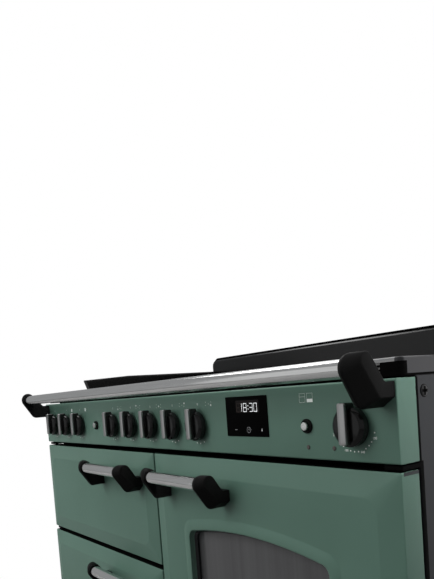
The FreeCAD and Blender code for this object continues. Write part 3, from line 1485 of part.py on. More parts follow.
def hinge_blocks():
    top = front_top + sz.front_gap / 2
    left_middle = front_top - sz.short_front - sz.stack_gap / 2
    right_middle = front_top - tall_front - sz.stack_gap / 2
    bottom = sz.front_bottom - sz.stack_gap / 2
    return group("hinge_blocks", [
        hinge_block("left_top_hinge", -1, top, (-1,)),
        hinge_block("left_middle_hinge", -1, left_middle, (-1, 1)),
        hinge_block("left_bottom_hinge", -1, bottom, (1,)),
        hinge_block("right_top_hinge", 1, top, (-1,)),
        hinge_block("right_middle_hinge", 1, right_middle, (1,)),
    ])


def build():
    masters = handle_masters()
    ovens = ((-column_x, tall_left_z, "left"), (column_x, tall_right_z, "right"))
    nodes = [group("side_panels", [side_panel("left_side", -1), side_panel("right_side", 1)])]
    nodes += [back_panel(), base_pan(), plinth(), levelling_feet(), front_frame()]
    nodes += [hob_trim(), hob_glass(), induction_coils(), rear_upstand()]
    nodes.append(group("side_wings", [side_wing("left_wing", -1), side_wing("right_wing", 1)]))
    nodes += [control_panel(), clock_display(), indicator_lenses(), button_bezels()]
    nodes += [push_button("left_button", button_steps[0]), push_button("right_button", button_steps[1])]
    nodes += knobs()
    nodes += [switch_bodies(), handrail(), handrail_brackets()]
    for x, z, stem in ovens:
        nodes.append(cavity_liner(stem + "_oven_liner", sz.cavity_height, cavity_depth, x, z, True))
        nodes.append(oven_fan(stem + "_fan", x, z))
    nodes.append(cavity_liner("grill_liner", sz.grill_height, sz.grill_depth, -column_x, short_left_z, False))
    nodes.append(group("fan_covers", [fan_cover(stem + "_cover", x, z) for x, z, stem in ovens]))
    nodes.append(group("fan_motors", [fan_motor(stem + "_motor", x, z) for x, z, stem in ovens]))
    elements = [ring_element(stem + "_ring_element", x, z) for x, z, stem in ovens]
    nodes.append(group("heating_elements", elements + [grill_element()]))
    supports = []
    for x, z, stem in ovens:
        for side in (-1, 1):
            supports.append(shelf_support("%s_support_%d" % (stem, side + 2), x, z, side))
    nodes.append(group("shelf_supports", supports))
    nodes.append(group("oven_shelves", [oven_shelf(stem + "_shelf", x, z) for x, z, stem in ovens]))
    seals = [seal(stem + "_oven_seal", sz.cavity_height, x, z) for x, z, stem in ovens]
    nodes.append(group("door_seals", seals + [seal("grill_seal", sz.grill_height, -column_x, short_left_z)]))
    nodes += [hinge_blocks(), drawer_runners()]
    nodes += grill_door(masters)
    nodes += oven_door("left_door", -1, tall_left_z, masters)
    nodes += oven_door("right_door", 1, tall_right_z, masters)
    nodes += drawer(masters)
    return nodes


def write_parts(nodes):
    for thing in doc.Objects:
        faults = [state for state in thing.State if state in ("Invalid", "Error")]
        if faults:
            raise RuntimeError("%s did not build: %s" % (thing.Label, thing.State))
    os.makedirs("parts", exist_ok=True)
    for node in nodes:
        if node.Shape.isNull() or not node.Shape.isValid() or not node.Shape.Solids:
            raise RuntimeError("%s has no valid solid" % node.Label)
        node.Shape.exportStep("parts/%s.step" % node.Label)


parts = build()
doc.recompute()
write_parts(parts)
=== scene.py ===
import bmesh
import bpy
import math
import numpy as np
from mathutils import Matrix, Vector


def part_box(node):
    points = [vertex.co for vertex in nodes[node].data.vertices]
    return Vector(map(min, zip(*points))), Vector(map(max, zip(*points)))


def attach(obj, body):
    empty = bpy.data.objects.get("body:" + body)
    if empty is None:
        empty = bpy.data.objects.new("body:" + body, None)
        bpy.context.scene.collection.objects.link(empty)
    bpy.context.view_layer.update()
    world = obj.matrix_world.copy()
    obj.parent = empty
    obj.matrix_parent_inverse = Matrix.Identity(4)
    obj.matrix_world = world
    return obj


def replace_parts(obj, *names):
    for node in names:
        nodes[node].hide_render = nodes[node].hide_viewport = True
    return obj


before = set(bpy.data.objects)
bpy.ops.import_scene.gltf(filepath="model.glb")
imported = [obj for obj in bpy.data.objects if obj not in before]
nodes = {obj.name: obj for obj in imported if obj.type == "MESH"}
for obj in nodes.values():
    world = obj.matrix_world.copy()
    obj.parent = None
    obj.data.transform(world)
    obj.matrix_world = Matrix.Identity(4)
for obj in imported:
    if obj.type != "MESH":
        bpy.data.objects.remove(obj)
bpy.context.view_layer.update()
scene = bpy.context.scene
scene.view_settings.view_transform = "Standard"
mm = 0.001
fullTurn = 2 * math.pi
quarterTurn = math.pi / 2
print("frame loaded:", len(nodes), "nodes")


# node helpers

def toLinear(hexText):
    # sRGB hex to linear colour with alpha
    srgb = np.array([int(hexText[i:i + 2], 16) for i in (1, 3, 5)]) / 255
    linear = np.where(srgb <= 0.04045, srgb / 12.92, ((srgb + 0.055) / 1.055) ** 2.4)
    return (*map(float, linear), 1.0)


def addNode(tree, kind, settings, links):
    # one node with its settings; a link value is a number, a colour or another node's output
    node = tree.nodes.new(kind)
    for key, value in settings.items():
        setattr(node, key, value)
    for key, value in links.items():
        if isinstance(value, bpy.types.NodeSocket):
            tree.links.new(value, node.inputs[key])
        else:
            node.inputs[key].default_value = value
    return node


def calc(tree, operation, *values):
    # one sum or comparison
    return addNode(tree, "ShaderNodeMath", {"operation": operation}, dict(enumerate(values))).outputs[0]


def smoothStep(tree, value, start, end):
    # eased change from 0 at the start to 1 at the end
    links = {"Value": value, "From Min": start, "From Max": end}
    return addNode(tree, "ShaderNodeMapRange", {"interpolation_type": "SMOOTHSTEP"}, links).outputs["Result"]


def mixShaders(tree, share, first, second):
    return addNode(tree, "ShaderNodeMixShader", {}, {0: share, 1: first, 2: second}).outputs["Shader"]


def noise(tree, place, sizeMm, detail, roughness=0.5):
    # cloudy pattern with lumps of the given size
    links = {"Vector": place, "Scale": 1000 / sizeMm, "Detail": detail, "Roughness": roughness}
    return addNode(tree, "ShaderNodeTexNoise", {}, links).outputs["Fac"]


def ramp(tree, factor, ends, colours):
    # even change between two colours from one level of the factor to another
    node = addNode(tree, "ShaderNodeValToRGB", {}, {"Fac": factor})
    for element, position, colour in zip(node.color_ramp.elements, ends, colours):
        element.position = position
        element.color = colour
    return node.outputs["Color"]


def greys(levels):
    return [(level, level, level, 1.0) for level in levels]


def newMaterial(name, shaderValues):
    # empty node tree with a Principled shader whose constant sockets are set directly
    material = bpy.data.materials.new(name)
    material.use_nodes = True
    tree = material.node_tree
    tree.nodes.clear()
    shader = addNode(tree, "ShaderNodeBsdfPrincipled", {}, shaderValues)
    addNode(tree, "ShaderNodeOutputMaterial", {}, {"Surface": shader.outputs["BSDF"]})
    place = addNode(tree, "ShaderNodeTexCoord", {}, {})
    return material, tree, shader, place.outputs["Object"]


def drawnOut(tree, place, run):
    # an axis whose run is below 1 draws a pattern out along it
    return addNode(tree, "ShaderNodeMapping", {}, {"Vector": place, "Scale": run}).outputs["Vector"]


def dress(tree, shader, look, cloud, grain):
    # colour follows the cloud, gloss and fine relief follow the grain
    colour = ramp(tree, cloud, look["colourEnds"], map(toLinear, look["colours"]))
    gloss = ramp(tree, grain, look["glossEnds"], greys(look["gloss"]))
    links = {"Height": grain, "Strength": look["bump"], "Distance": look["bumpMm"] * mm}
    relief = addNode(tree, "ShaderNodeBump", {}, links).outputs["Normal"]
    for key, value in (("Base Color", colour), ("Roughness", gloss), ("Normal", relief)):
        tree.links.new(value, shader.inputs[key])


def layered(material):
    # what a second layer needs: the tree, the first shader, the final surface socket and the place
    tree = material.node_tree
    shader = next(node for node in tree.nodes if node.type == "BSDF_PRINCIPLED")
    output = next(node for node in tree.nodes if node.type == "OUTPUT_MATERIAL")
    place = addNode(tree, "ShaderNodeTexCoord", {}, {})
    return tree, shader.outputs["BSDF"], output.inputs["Surface"], place.outputs["Object"]


def axesOf(tree, place):
    return addNode(tree, "ShaderNodeSeparateXYZ", {}, {"Vector": place}).outputs


# materials

def greenEnamel():
    # stove enamel sprayed on pressed steel: even sage colour, faint orange peel, soft sheen
    look = {"colours": ("#465f54", "#4b655a"), "colourEnds": (0.3, 0.75), "gloss": (0.34, 0.42),
            "glossEnds": (0.2, 0.8), "cloudMm": 160, "peelMm": 2.2, "bump": 0.06, "bumpMm": 0.3}
    material, tree, shader, place = newMaterial("greenStoveEnamel", coated(0.3))
    cloud = noise(tree, place, look["cloudMm"], detail=3.0)
    peel = noise(tree, place, look["peelMm"], detail=2.0)
    dress(tree, shader, look, cloud, peel)
    return material


def satinChrome():
    # steel tube, chrome plated and satin brushed along its length: fine streaks, broad highlights
    look = {"colours": ("#e8e8e7", "#f4f4f3"), "colourEnds": (0.25, 0.75), "gloss": (0.1, 0.15),
            "glossEnds": (0.2, 0.8), "streakMm": 1.2, "run": (0.02, 1.0, 1.0), "bump": 0.05, "bumpMm": 0.2}
    material, tree, shader, place = newMaterial("satinChromeTube", bareMetal)
    streak = noise(tree, drawnOut(tree, place, look["run"]), look["streakMm"], detail=4.0)
    dress(tree, shader, look, streak, streak)
    return material


def grained(name, colours, shaderValues, grainMm, gloss, bump=0.0, run=None):
    # moulded or painted surface: a fine grain varies colour, gloss and height together
    look = {"colours": colours, "colourEnds": (0.3, 0.7), "gloss": gloss, "glossEnds": (0.25, 0.75),
            "bump": bump, "bumpMm": 0.2}
    material, tree, shader, place = newMaterial(name, shaderValues)
    if run:
        place = drawnOut(tree, place, run)
    grain = noise(tree, place, grainMm, detail=3.0, roughness=0.6)
    dress(tree, shader, look, grain, grain)
    return material


def coated(level, index=1.5):
    # shader values of a coat: its mirror level and its index of refraction
    return {"IOR": index, "Specular IOR Level": level}


def glowing(colour, strength):
    return {"Emission Color": toLinear(colour), "Emission Strength": strength}


bareMetal = {"Metallic": 1.0}
enamel = greenEnamel()
chrome = satinChrome()
# phenolic moulding, slightly open grain: deep black with a soft highlight
blackMoulding = grained(
    "blackPhenolicMoulding", ("#0e0e0e", "#141414"), coated(0.04), grainMm=0.9, gloss=(0.4, 0.52), bump=0.08)
# satin black stove paint on folded sheet
blackPaint = grained(
    "blackStovePaint", ("#0f0f0f", "#141414"), coated(0.25), grainMm=1.6, gloss=(0.42, 0.55), bump=0.1)
# gloss black enamel of the upstand and the side wings
glossBlack = grained(
    "glossBlackEnamel", ("#070707", "#0a0a0a"), coated(0.4), grainMm=3, gloss=(0.16, 0.24), bump=0.03)
# compression moulded knobs with a polished surface
knobBlack = grained(
    "polishedPhenolicKnob", ("#060606", "#0a0a0a"), coated(0.36), grainMm=0.9, gloss=(0.12, 0.18), bump=0.05)
# matt black primer of the frame behind the doors
frameBlack = grained(
    "mattBlackPrimer", ("#060606", "#090909"), coated(0.03), grainMm=1.5, gloss=(0.6, 0.75), bump=0.08)
# charcoal powder coat on the side sheets: pebbled, dull
greyPaint = grained(
    "charcoalPowderCoat", ("#27282a", "#2e2f31"), coated(0.2), grainMm=1.4, gloss=(0.45, 0.6), bump=0.15)
# zinc plated sheet: dull grey with a faint spangle
zincSheet = grained(
    "zincPlatedSheet", ("#8a8c8d", "#a2a4a4"), bareMetal, grainMm=14, gloss=(0.38, 0.55), bump=0.03)
# brushed stainless trim
trimSteel = grained(
    "brushedStainlessTrim", ("#9a9a9b", "#b4b4b4"), bareMetal, grainMm=1.5, gloss=(0.28, 0.4), bump=0.04)
# black ground-coat enamel of the cavities: glossy with pale specks
ovenEnamel = grained(
    "blackGroundEnamel", ("#101012", "#1c1d20"), {"IOR": 1.52}, grainMm=2.5, gloss=(0.16, 0.28), bump=0.05)
# polished wire of the shelves
brightWire = grained(
    "brightChromeWire", ("#b8b8b8", "#cfcfcf"), bareMetal, grainMm=3, gloss=(0.1, 0.18), bump=0.02)
# oxidised sheath of the elements
elementSheath = grained(
    "oxidisedElementSheath", ("#3a3533", "#4c4643"), bareMetal, grainMm=2, gloss=(0.5, 0.65), bump=0.1)
# extruded silicone of the door seals
sealRubber = grained(
    "blackSiliconeSeal", ("#121212", "#181818"), {"IOR": 1.43}, grainMm=1.2, gloss=(0.6, 0.75), bump=0.1)
# wound copper litz of the coils
coilCopper = grained(
    "woundCopperLitz", ("#6e3f2c", "#8a5238"), bareMetal, grainMm=1.5, gloss=(0.35, 0.5), bump=0.2)
# glass-filled nylon of the switches
switchNylon = grained(
    "paleNylonMoulding", ("#b9b6ac", "#c8c5bb"), {"IOR": 1.53}, grainMm=1.5, gloss=(0.5, 0.62), bump=0.05)
# black glass-ceramic hob: polished, faint depth
hobGlass = grained(
    "blackGlassCeramic", ("#060607", "#0a0a0b"), {"IOR": 1.54}, grainMm=60, gloss=(0.03, 0.07))
# smoked float glass over a dark oven: grey body colour, partly its smoke tint and partly painted reflection;
# upright streaks, 30 mm apart, that are painted reflection
smokedGlassPaintedReflection = grained(
    "smokedDoorGlassPaintedReflection", ("#343435", "#464647"), {"IOR": 1.52}, grainMm=30, gloss=(0.1, 0.14),
    run=(1.0, 1.0, 0.012))
# turned and satin plated button caps
buttonMetal = grained(
    "satinPlatedCap", ("#dededc", "#e8e8e6"), bareMetal, grainMm=0.8, gloss=(0.2, 0.3), bump=0.05)
# clear lamp lens over a dark seat
lampLens = grained(
    "smokedLampLens", ("#383432", "#46413e"), {"IOR": 1.49}, grainMm=2, gloss=(0.08, 0.14))
# satin plated pointer strip of the knobs
stripMetal = grained(
    "satinPlatedStrip", ("#b2b2b1", "#bebebd"), bareMetal, grainMm=0.7, gloss=(0.3, 0.4), bump=0.05)
# deep black display window, bloomed so that it mirrors little
displayGlass = grained(
    "bloomedBlackDisplay", ("#010101", "#020202"), coated(0.03), grainMm=40, gloss=(0.5, 0.56))
# faint brown tint of the display's lit window, and its unlit segments
clockTint = grained(
    "tintedDisplayWindow", ("#100d0c", "#15110f"), coated(0.1), grainMm=3, gloss=(0.2, 0.26))
unlitFigure = grained(
    "unlitDisplayFigure", ("#221b19", "#2a211e"), coated(0.1), grainMm=1, gloss=(0.3, 0.4))
# lit segments and touch signs of the display: the cooker's only surfaces that give light
litWhite = grained(
    "litDisplayWhite", ("#d8dadc", "#e4e6e8"), glowing("#f2f4f6", 0.55), grainMm=0.8, gloss=(0.4, 0.5))
dimWhite = grained(
    "dimDisplayWhite", ("#8e9092", "#9a9c9e"), glowing("#c8cacc", 0.2), grainMm=0.8, gloss=(0.4, 0.5))
# screen printed legends
printedWhite = grained(
    "whiteScreenPrint", ("#d4d8d4", "#dfe2df"), {"IOR": 1.5}, grainMm=0.6, gloss=(0.5, 0.6), bump=0.02)
# oxide black steel screws
screwSteel = grained(
    "blackOxideSteel", ("#0c0c0d", "#141415"), coated(0.3), grainMm=1.2, gloss=(0.3, 0.42), bump=0.05)


def flatCoat(tree, colour, roughness, shaderValues):
    # even second layer
    links = {"Base Color": toLinear(colour), "Roughness": roughness, **shaderValues}
    return addNode(tree, "ShaderNodeBsdfPrincipled", {}, links).outputs["BSDF"]


def upstandEnamel():
    # gloss black enamel; from the row of vent slots upwards it is flat black without sheen: painted shade,
    # so that the vent row reads as one dark line
    look = {"ventDropM": 0.0072, "colour": "#030303", "roughness": 0.8}
    material = glossBlack.copy()
    material.name = "glossBlackPaintedShadeTop"
    tree, gloss, surface, place = layered(material)
    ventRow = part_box("rear_upstand")[1][2] - look["ventDropM"]
    # painted shade: above the vent row the enamel gives way to flat black
    top = calc(tree, "GREATER_THAN", axesOf(tree, place)["Z"], ventRow)
    matt = flatCoat(tree, look["colour"], look["roughness"], {"Specular IOR Level": 0.0})
    tree.links.new(mixShaders(tree, top, gloss, matt), surface)
    return material


def trimWithLouvres():
    # brushed stainless hob trim, sprayed black on its louvred front under the bright top edge and round the
    # near corners; a black band along the foot is painted shadow where the trim meets the parts below; the
    # end returns are a darker grey metal
    look = {"frontM": -0.2562, "edgeM": 0.9, "cornerM": 0.5405, "cornerBackM": -0.248, "footShadowHighM": 0.0025,
            "blackAndShadowColour": "#050505", "blackAndShadowRoughness": 0.7, "endColour": "#4e4e50", "endRoughness": 0.36}
    material = trimSteel.copy()
    material.name = "brushedTrimBlackLouvresFootShadow"
    tree, steel, surface, place = layered(material)
    axes = axesOf(tree, place)
    under = calc(tree, "LESS_THAN", axes["Z"], look["edgeM"])
    louvre = calc(tree, "MULTIPLY", calc(tree, "LESS_THAN", axes["Y"], look["frontM"]), under)
    end = calc(tree, "GREATER_THAN", calc(tree, "ABSOLUTE", axes["X"]), look["cornerM"])
    near = calc(tree, "LESS_THAN", axes["Y"], look["cornerBackM"])
    corner = calc(tree, "MULTIPLY", calc(tree, "MULTIPLY", end, near), under)
    # painted shadow: a 2.5 mm band along the foot is given the same black as the louvres
    foot = calc(tree, "LESS_THAN", axes["Z"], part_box("hob_trim")[0][2] + look["footShadowHighM"])
    black = calc(tree, "MAXIMUM", calc(tree, "MAXIMUM", louvre, corner), foot)
    blackAndShadowCoat = flatCoat(tree, look["blackAndShadowColour"], look["blackAndShadowRoughness"], {"Specular IOR Level": 0.02})
    dull = flatCoat(tree, look["endColour"], look["endRoughness"], bareMetal)
    metal = mixShaders(tree, end, steel, dull)
    tree.links.new(mixShaders(tree, black, metal, blackAndShadowCoat), surface)
    return material


# each finish with the nodes that have it
nodeLooks = [
    (greyPaint, "side_panels"), (blackPaint, "plinth"), (glossBlack, "side_wings"), (hobGlass, "hob_glass"),
    (trimWithLouvres(), "hob_trim"), (upstandEnamel(), "rear_upstand"), (lampLens, "indicator_lenses"),
    (coilCopper, "induction_coils"), (switchNylon, "switch_bodies"), (elementSheath, "heating_elements"),
    (sealRubber, "door_seals"), (frameBlack, "front_frame", "hinge_blocks"),
    (brightWire, "shelf_supports", "oven_shelves"), (smokedGlassPaintedReflection, "left_door_glass", "right_door_glass"),
    (ovenEnamel, "left_oven_liner", "right_oven_liner", "grill_liner", "fan_covers", "grill_door_liner",
     "left_door_liner", "right_door_liner"),
    (zincSheet, "back_panel", "base_pan", "levelling_feet", "fan_motors", "drawer_runners", "left_fan",
     "right_fan", "drawer_box"),
]
for look, *nodeNames in nodeLooks:
    for nodeName in nodeNames:
        nodes[nodeName].data.materials.clear()
        nodes[nodeName].data.materials.append(look)
print("materials ready")


# mesh helpers: the cooker's own pieces are worked out in millimetres in the shared frame

def boxOf(node):
    # low and high corner of a node
    return tuple(np.array(corner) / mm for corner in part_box(node))


def putPiece(name, mesh, material, body):
    mesh.materials.append(material)
    piece = bpy.data.objects.new(name, mesh)
    scene.collection.objects.link(piece)
    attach(piece, body)
    return piece


def meshOf(name, points, faces):
    mesh = bpy.data.meshes.new(name)
    mesh.from_pydata((np.asarray(points) * mm).tolist(), [], faces)
    return mesh


def putMesh(name, shell, material, body, creaseDeg=40):
    mesh = meshOf(name, *shell)
    # every shell is closed, so its faces can be turned outwards by rule
    closedShell = bmesh.new()
    closedShell.from_mesh(mesh)
    bmesh.ops.recalc_face_normals(closedShell, faces=closedShell.faces)
    closedShell.to_mesh(mesh)
    closedShell.free()
    mesh.polygons.foreach_set("use_smooth", np.ones(len(mesh.polygons), dtype=bool))
    mesh.set_sharp_from_angle(angle=math.radians(creaseDeg))
    return putPiece(name, mesh, material, body)


def joined(shells):
    # several lots of points and faces as one
    points, faces = [], []
    for shellPoints, shellFaces in shells:
        base = sum(map(len, points))
        faces += [[index + base for index in face] for face in shellFaces]
        points.append(shellPoints)
    return np.concatenate(points), faces


def putFlat(name, shapes, material, body="cabinet"):
    # several flat shapes joined in one mesh
    return putPiece(name, meshOf(name, *joined(shapes)), material, body)


def loopFaces(loopCount, pointCount, closed=False):
    # quads between neighbouring loops: (i, j), (i, j+1), (i+1, j+1), (i+1, j)
    rows = loopCount if closed else loopCount - 1
    i, j = np.meshgrid(np.arange(rows), np.arange(pointCount), indexing="ij")
    nextI = (i + 1) % loopCount * pointCount
    nextJ = (j + 1) % pointCount
    i = i * pointCount
    return np.stack([i + j, i + nextJ, nextI + nextJ, nextI + j], -1).reshape(-1, 4).tolist()


def shellOf(loops, closed=False):
    # surface carried through a stack of loops: closed on itself, or with a cap on both ends
    stack = np.stack(loops)
    loopCount, pointCount = stack.shape[:2]
    faces = loopFaces(loopCount, pointCount, closed)
    if not closed:
        first = list(range(pointCount))
        faces += [first[::-1], [(loopCount - 1) * pointCount + index for index in first]]
    return stack.reshape(-1, 3), faces


def skinLoops(name, loops, material, body, closed=False, flip=False, creaseDeg=40):
    points, faces = shellOf(loops, closed)
    if flip:
        faces = [face[::-1] for face in faces]
    return putMesh(name, (points, faces), material, body, creaseDeg)


def archLoop(width, low, high, rise, corner, cornerSteps=8, topSteps=24):
    # rounded rectangle whose top edge is an arc of the given rise; anticlockwise seen from the front
    run = width / 2 - corner
    shoulder = high - rise
    turn = np.linspace(0, quarterTurn, cornerSteps)
    lowRight = np.stack([run + corner * np.sin(turn), low + corner - corner * np.cos(turn)], -1)
    topRight = np.stack([run + corner * np.cos(turn), shoulder - corner + corner * np.sin(turn)], -1)
    across = np.linspace(run, -run, topSteps)[1:-1]
    lift = np.zeros_like(across)
    if rise > 0:
        radius = (run ** 2 + rise ** 2) / (2 * rise)
        lift = np.sqrt(radius ** 2 - across ** 2) - (radius - rise)
    top = np.stack([across, shoulder + lift], -1)
    mirror = np.array([-1, 1])
    return np.concatenate([lowRight, topRight, top, topRight[::-1] * mirror, lowRight[::-1] * mirror])


def facing(loop, y, x=0, z=0):
    # flat loop (u, v) set upright: u along X, v along Z, at depth y
    return np.stack([loop[:, 0] + x, np.full(len(loop), float(y)), loop[:, 1] + z], -1)


def squareToX(outline, x):
    # flat outline (y, z) set square to X
    return np.column_stack([np.full(len(outline), x), outline])


def ring(radius, steps):
    # points of a circle round the origin
    angle = np.linspace(0, fullTurn, steps, endpoint=False)
    return radius * np.stack([np.cos(angle), np.sin(angle)], -1)


def turned(profile, steps):
    # loops of a turned piece: each profile point (y, radius) becomes a circle round the Y axis
    return [facing(ring(radius, steps), y) for y, radius in profile]


def rounding(radius, steps):
    # quarter circle from an end face to a flank: (distance from the end, distance in from the flank)
    turn = np.linspace(0, quarterTurn, steps)
    return [(radius * (1 - math.cos(a)), radius * (1 - math.sin(a))) for a in turn]


panelLow, panelHigh = boxOf("control_panel")
frontY = panelLow[1]
panelBottom = panelLow[2]
fieldRise = frontY - boxOf("right_door_skin")[0][1]


def buildFront(name, node, body, hasWindow):
    # pressed front: rolled edge, bevelled band, raised field, black painted shade on its top and, on oven
    # doors, a window
    size = {"bandWidth": 32, "edgeRound": 1.5, "edgeCorner": 2.5, "fieldCorner": 22, "crestRound": 1.4,
            "sheet": 2, "backY": 8, "shadeTop": 0.2, "shadeDrop": 4.2, "shadeBack": 4.5, "shadeSheet": 0.05,
            "shadeLevel": 0.95, "edgeSteps": 5, "crestSteps": 7}
    low, high = boxOf(node)
    centreX, centreZ = (low[0] + high[0]) / 2, (low[2] + high[2]) / 2
    width, height = high[0] - low[0] - 2 * size["shadeSheet"], high[2] - low[2]
    depth = high[1] - frontY

    # the painted shade of the gap above runs down over both ends: a dark grey strip on each end face
    ahead, top = frontY + size["shadeBack"], high[2] - size["shadeTop"]
    foot = top - size["shadeDrop"]
    corners = np.array([(ahead, foot), (high[1], foot), (high[1], top), (ahead, top)])
    strips = [squareToX(corners, high[0]), squareToX(corners[::-1], low[0])]
    putFlat(name + "PaintedShadeEnds", [(strip, [[0, 1, 2, 3]]) for strip in strips], greyPaint, body)

    def outline(inset, y):
        # offset rectangle; its corner grows from the edge radius to the field radius over the band
        share = min(max(inset / size["bandWidth"], 0), 1)
        corner = size["edgeCorner"] + (size["fieldCorner"] - size["edgeCorner"]) * share
        loop = archLoop(width - 2 * inset, -height / 2 + inset, height / 2 - inset, 0, corner)
        return facing(loop, frontY + y, centreX, centreZ)

    # section from the back edge to the field: (inset from the edge, depth behind the panel face)
    section = [(0, depth)] + rounding(size["edgeRound"], size["edgeSteps"])
    slope = fieldRise / (size["bandWidth"] - size["edgeRound"])
    # the crest blends the sloping band into the flat field: parabola tangent to both
    section += [(size["bandWidth"] + size["crestRound"] * t,
                 -fieldRise + slope * size["crestRound"] * (1 - t) ** 2 / 4)
                for t in np.linspace(-1, 1, size["crestSteps"])]
    front = [outline(inset, y) for inset, y in section]
    back = [outline(size["sheet"], size["backY"]), outline(size["sheet"], depth)]

    if hasWindow:
        recess, throat = windowLoops(centreX, centreZ, size["backY"])
        loops = [throat] + back + front + recess
    else:
        loops = back + front
    door = skinLoops(name, loops, enamel, body, closed=hasWindow, flip=True, creaseDeg=28)
    mesh = door.data
    faceCount = len(mesh.polygons)
    looks = np.zeros(faceCount, dtype=np.int32)
    if hasWindow:
        # the foot of the window's wall and the throat are black, in the cavity enamel
        mesh.materials.append(ovenEnamel)
        looks[np.arange(faceCount) // len(throat) >= len(loops) - 2] = 1
    # the top of a front, behind its rolled edge, is painted black: painted shade of the gap above it
    mesh.materials.append(frameBlack)
    normals, centres = np.empty(faceCount * 3), np.empty(faceCount * 3)
    mesh.polygons.foreach_get("normal", normals)
    mesh.polygons.foreach_get("center", centres)
    # painted shade: upward faces along the top edge take the matt black
    paintedShadeTop = (normals[2::3] > size["shadeLevel"]) & (centres[1::3] > (frontY + size["edgeRound"]) * mm)
    paintedShadeTop &= centres[2::3] > (high[2] - size["edgeCorner"]) * mm
    looks[paintedShadeTop] = len(mesh.materials) - 1
    mesh.polygons.foreach_set("material_index", looks)
    return door


def windowLoops(centreX, centreZ, backY):
    # arched window: raised surround, rounded lip and steep wall down to the glass, given as shares of the way
    # from the mouth (0) to the throat (1) and depths behind the field, negative where they stand proud of it
    mouth = {"width": 356, "low": -132, "high": 125, "rise": 14, "corner": 24}
    throat = {"width": 312, "low": -110, "high": 103, "rise": 12.6, "corner": 12}
    size = {"outerShare": -0.14, "swellShare": -0.1, "swellRun": 0.78, "swellFoot": 0.06, "swellSteps": 9,
            "crestRise": 2.2, "lipRise": (0.94, 0.7), "wallDepth": (-0.2, 1.2, 6.5, 10.5),
            "wallShare": (0.715, 0.745, 0.765, 0.79, 0.87, 1.0)}

    def window(share, y):
        loop = archLoop(*(mouth[key] + (throat[key] - mouth[key]) * share for key in mouth))
        return facing(loop, frontY + y, centreX, centreZ)

    # the surround rises from the field to its crest as a quarter of a sine wave
    swell = np.linspace(0, 1, size["swellSteps"])
    lift = (size["crestRise"] + size["swellFoot"]) * np.sin(swell * quarterTurn)
    shares = [size["outerShare"], *(size["swellShare"] + size["swellRun"] * swell), *size["wallShare"]]
    lip = [-rise * size["crestRise"] for rise in size["lipRise"]]
    depths = [0.0, *(size["swellFoot"] - lift), *lip, *size["wallDepth"]]
    recess = [window(share, -fieldRise + depth) for share, depth in zip(shares, depths)]
    return recess, window(1.0, backY)


fronts = [
    ("grillDoorFront", "grill_door_skin", "grill_door", False),
    ("leftDoorFront", "left_door_skin", "left_oven_door", True),
    ("rightDoorFront", "right_door_skin", "right_oven_door", True),
    ("drawerFront", "drawer_front", "storage_drawer", False),
]
for name, node, body, hasWindow in fronts:
    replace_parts(buildFront(name, node, body, hasWindow), node)
print("fronts made:", len(fronts))


def buildPanel():
    # folded control panel: section with rounded front edges carried along X, closed at both ends
    size = {"edgeRound": 2.5, "edgeSteps": 6, "endRound": 1.2, "endSteps": 5}
    turn = np.linspace(0, quarterTurn, size["edgeSteps"])
    radius = size["edgeRound"]
    sine, cosine = radius * np.sin(turn), radius * np.cos(turn)

    def section(inset):
        # outline in the YZ plane, drawn in by the inset at the rounded ends
        front, back = panelLow[1] + inset, panelHigh[1]
        bottom, top = panelLow[2] + inset, panelHigh[2] - inset
        lower = np.stack([front + radius - sine, bottom + radius - cosine], -1)
        upper = np.stack([front + radius - cosine, top - radius + sine], -1)
        return np.concatenate([[[back, bottom]], lower, upper, [[back, top]]])

    ends = rounding(size["endRound"], size["endSteps"])
    stations = [(panelLow[0] + along, section(inset)) for along, inset in ends]
    stations += [(panelHigh[0] - along, section(inset)) for along, inset in ends[::-1]]
    loops = [squareToX(outline, x) for x, outline in stations]
    return skinLoops("controlPanelFascia", loops, enamel, "cabinet", flip=True)


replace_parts(buildPanel(), "control_panel")


def tubeAlongX(name, node, body):
    # plated tube with softened rims: circles round the X axis
    size = {"rim": 0.8, "steps": 40}
    low, high = boxOf(node)
    centre = (low + high) / 2
    radius = (high[2] - low[2]) / 2
    rim = size["rim"]
    stations = [(low[0], radius - rim), (low[0] + rim, radius),
                (high[0] - rim, radius), (high[0], radius - rim)]
    loops = [squareToX(ring(r, size["steps"]) + centre[1:], x) for x, r in stations]
    return skinLoops(name, loops, chrome, body)


# what carries a handle: name, node and body
handled = [("grillDoor", "grill_door", "grill_door"), ("leftDoor", "left_door", "left_oven_door"),
           ("rightDoor", "right_door", "right_oven_door"), ("drawer", "drawer", "storage_drawer")]
bars = [("handrailTube", "handrail", "cabinet")]
bars += [(name + "Bar", node + "_handle_bar", body) for name, node, body in handled]
for name, node, body in bars:
    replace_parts(tubeAlongX(name, node, body), node)


# an arm is drawn through three sections, from its outer tip over the keel to the shank beside the bar
everyArm = {"throat": 5, "rim": 1.3, "rimSteps": 5, "keelRound": 1.6, "keelSteps": 5,
            "throatSteps": 10, "noseSteps": 30, "heelSteps": 12}
railArm = {
    **everyArm, "offset": 51, "footTop": 17, "footLow": 46.5, "throatBack": 13.5, "tipWidth": 17.5,
    "shankWidth": 6.5,
    "tip": {"nose": 9.5, "noseBack": 6, "noseUp": 7.5, "footCut": 12, "heel": 5, "heelBack": 24},
    "keel": {"nose": 17, "noseBack": 0, "noseUp": 0, "footCut": 0, "heel": 14, "heelBack": 33.5},
    "shank": {"nose": 14.5, "noseBack": 0, "noseUp": 0, "footCut": 2, "heel": 12, "heelBack": 33.5},
}
handleArm = {
    **everyArm, "offset": 40, "footTop": 12.5, "footLow": 41, "throatBack": 10, "tipWidth": 16.5,
    "shankWidth": 7,
    "tip": {"nose": 11, "noseBack": 3.5, "noseUp": 4, "footCut": 11, "heel": 5, "heelBack": 17},
    "keel": {"nose": 15, "noseBack": 0, "noseUp": 0, "footCut": 0, "heel": 12, "heelBack": 24},
    "shank": {"nose": 13.5, "noseBack": 0, "noseUp": 0, "footCut": 2.5, "heel": 10, "heelBack": 24},
}


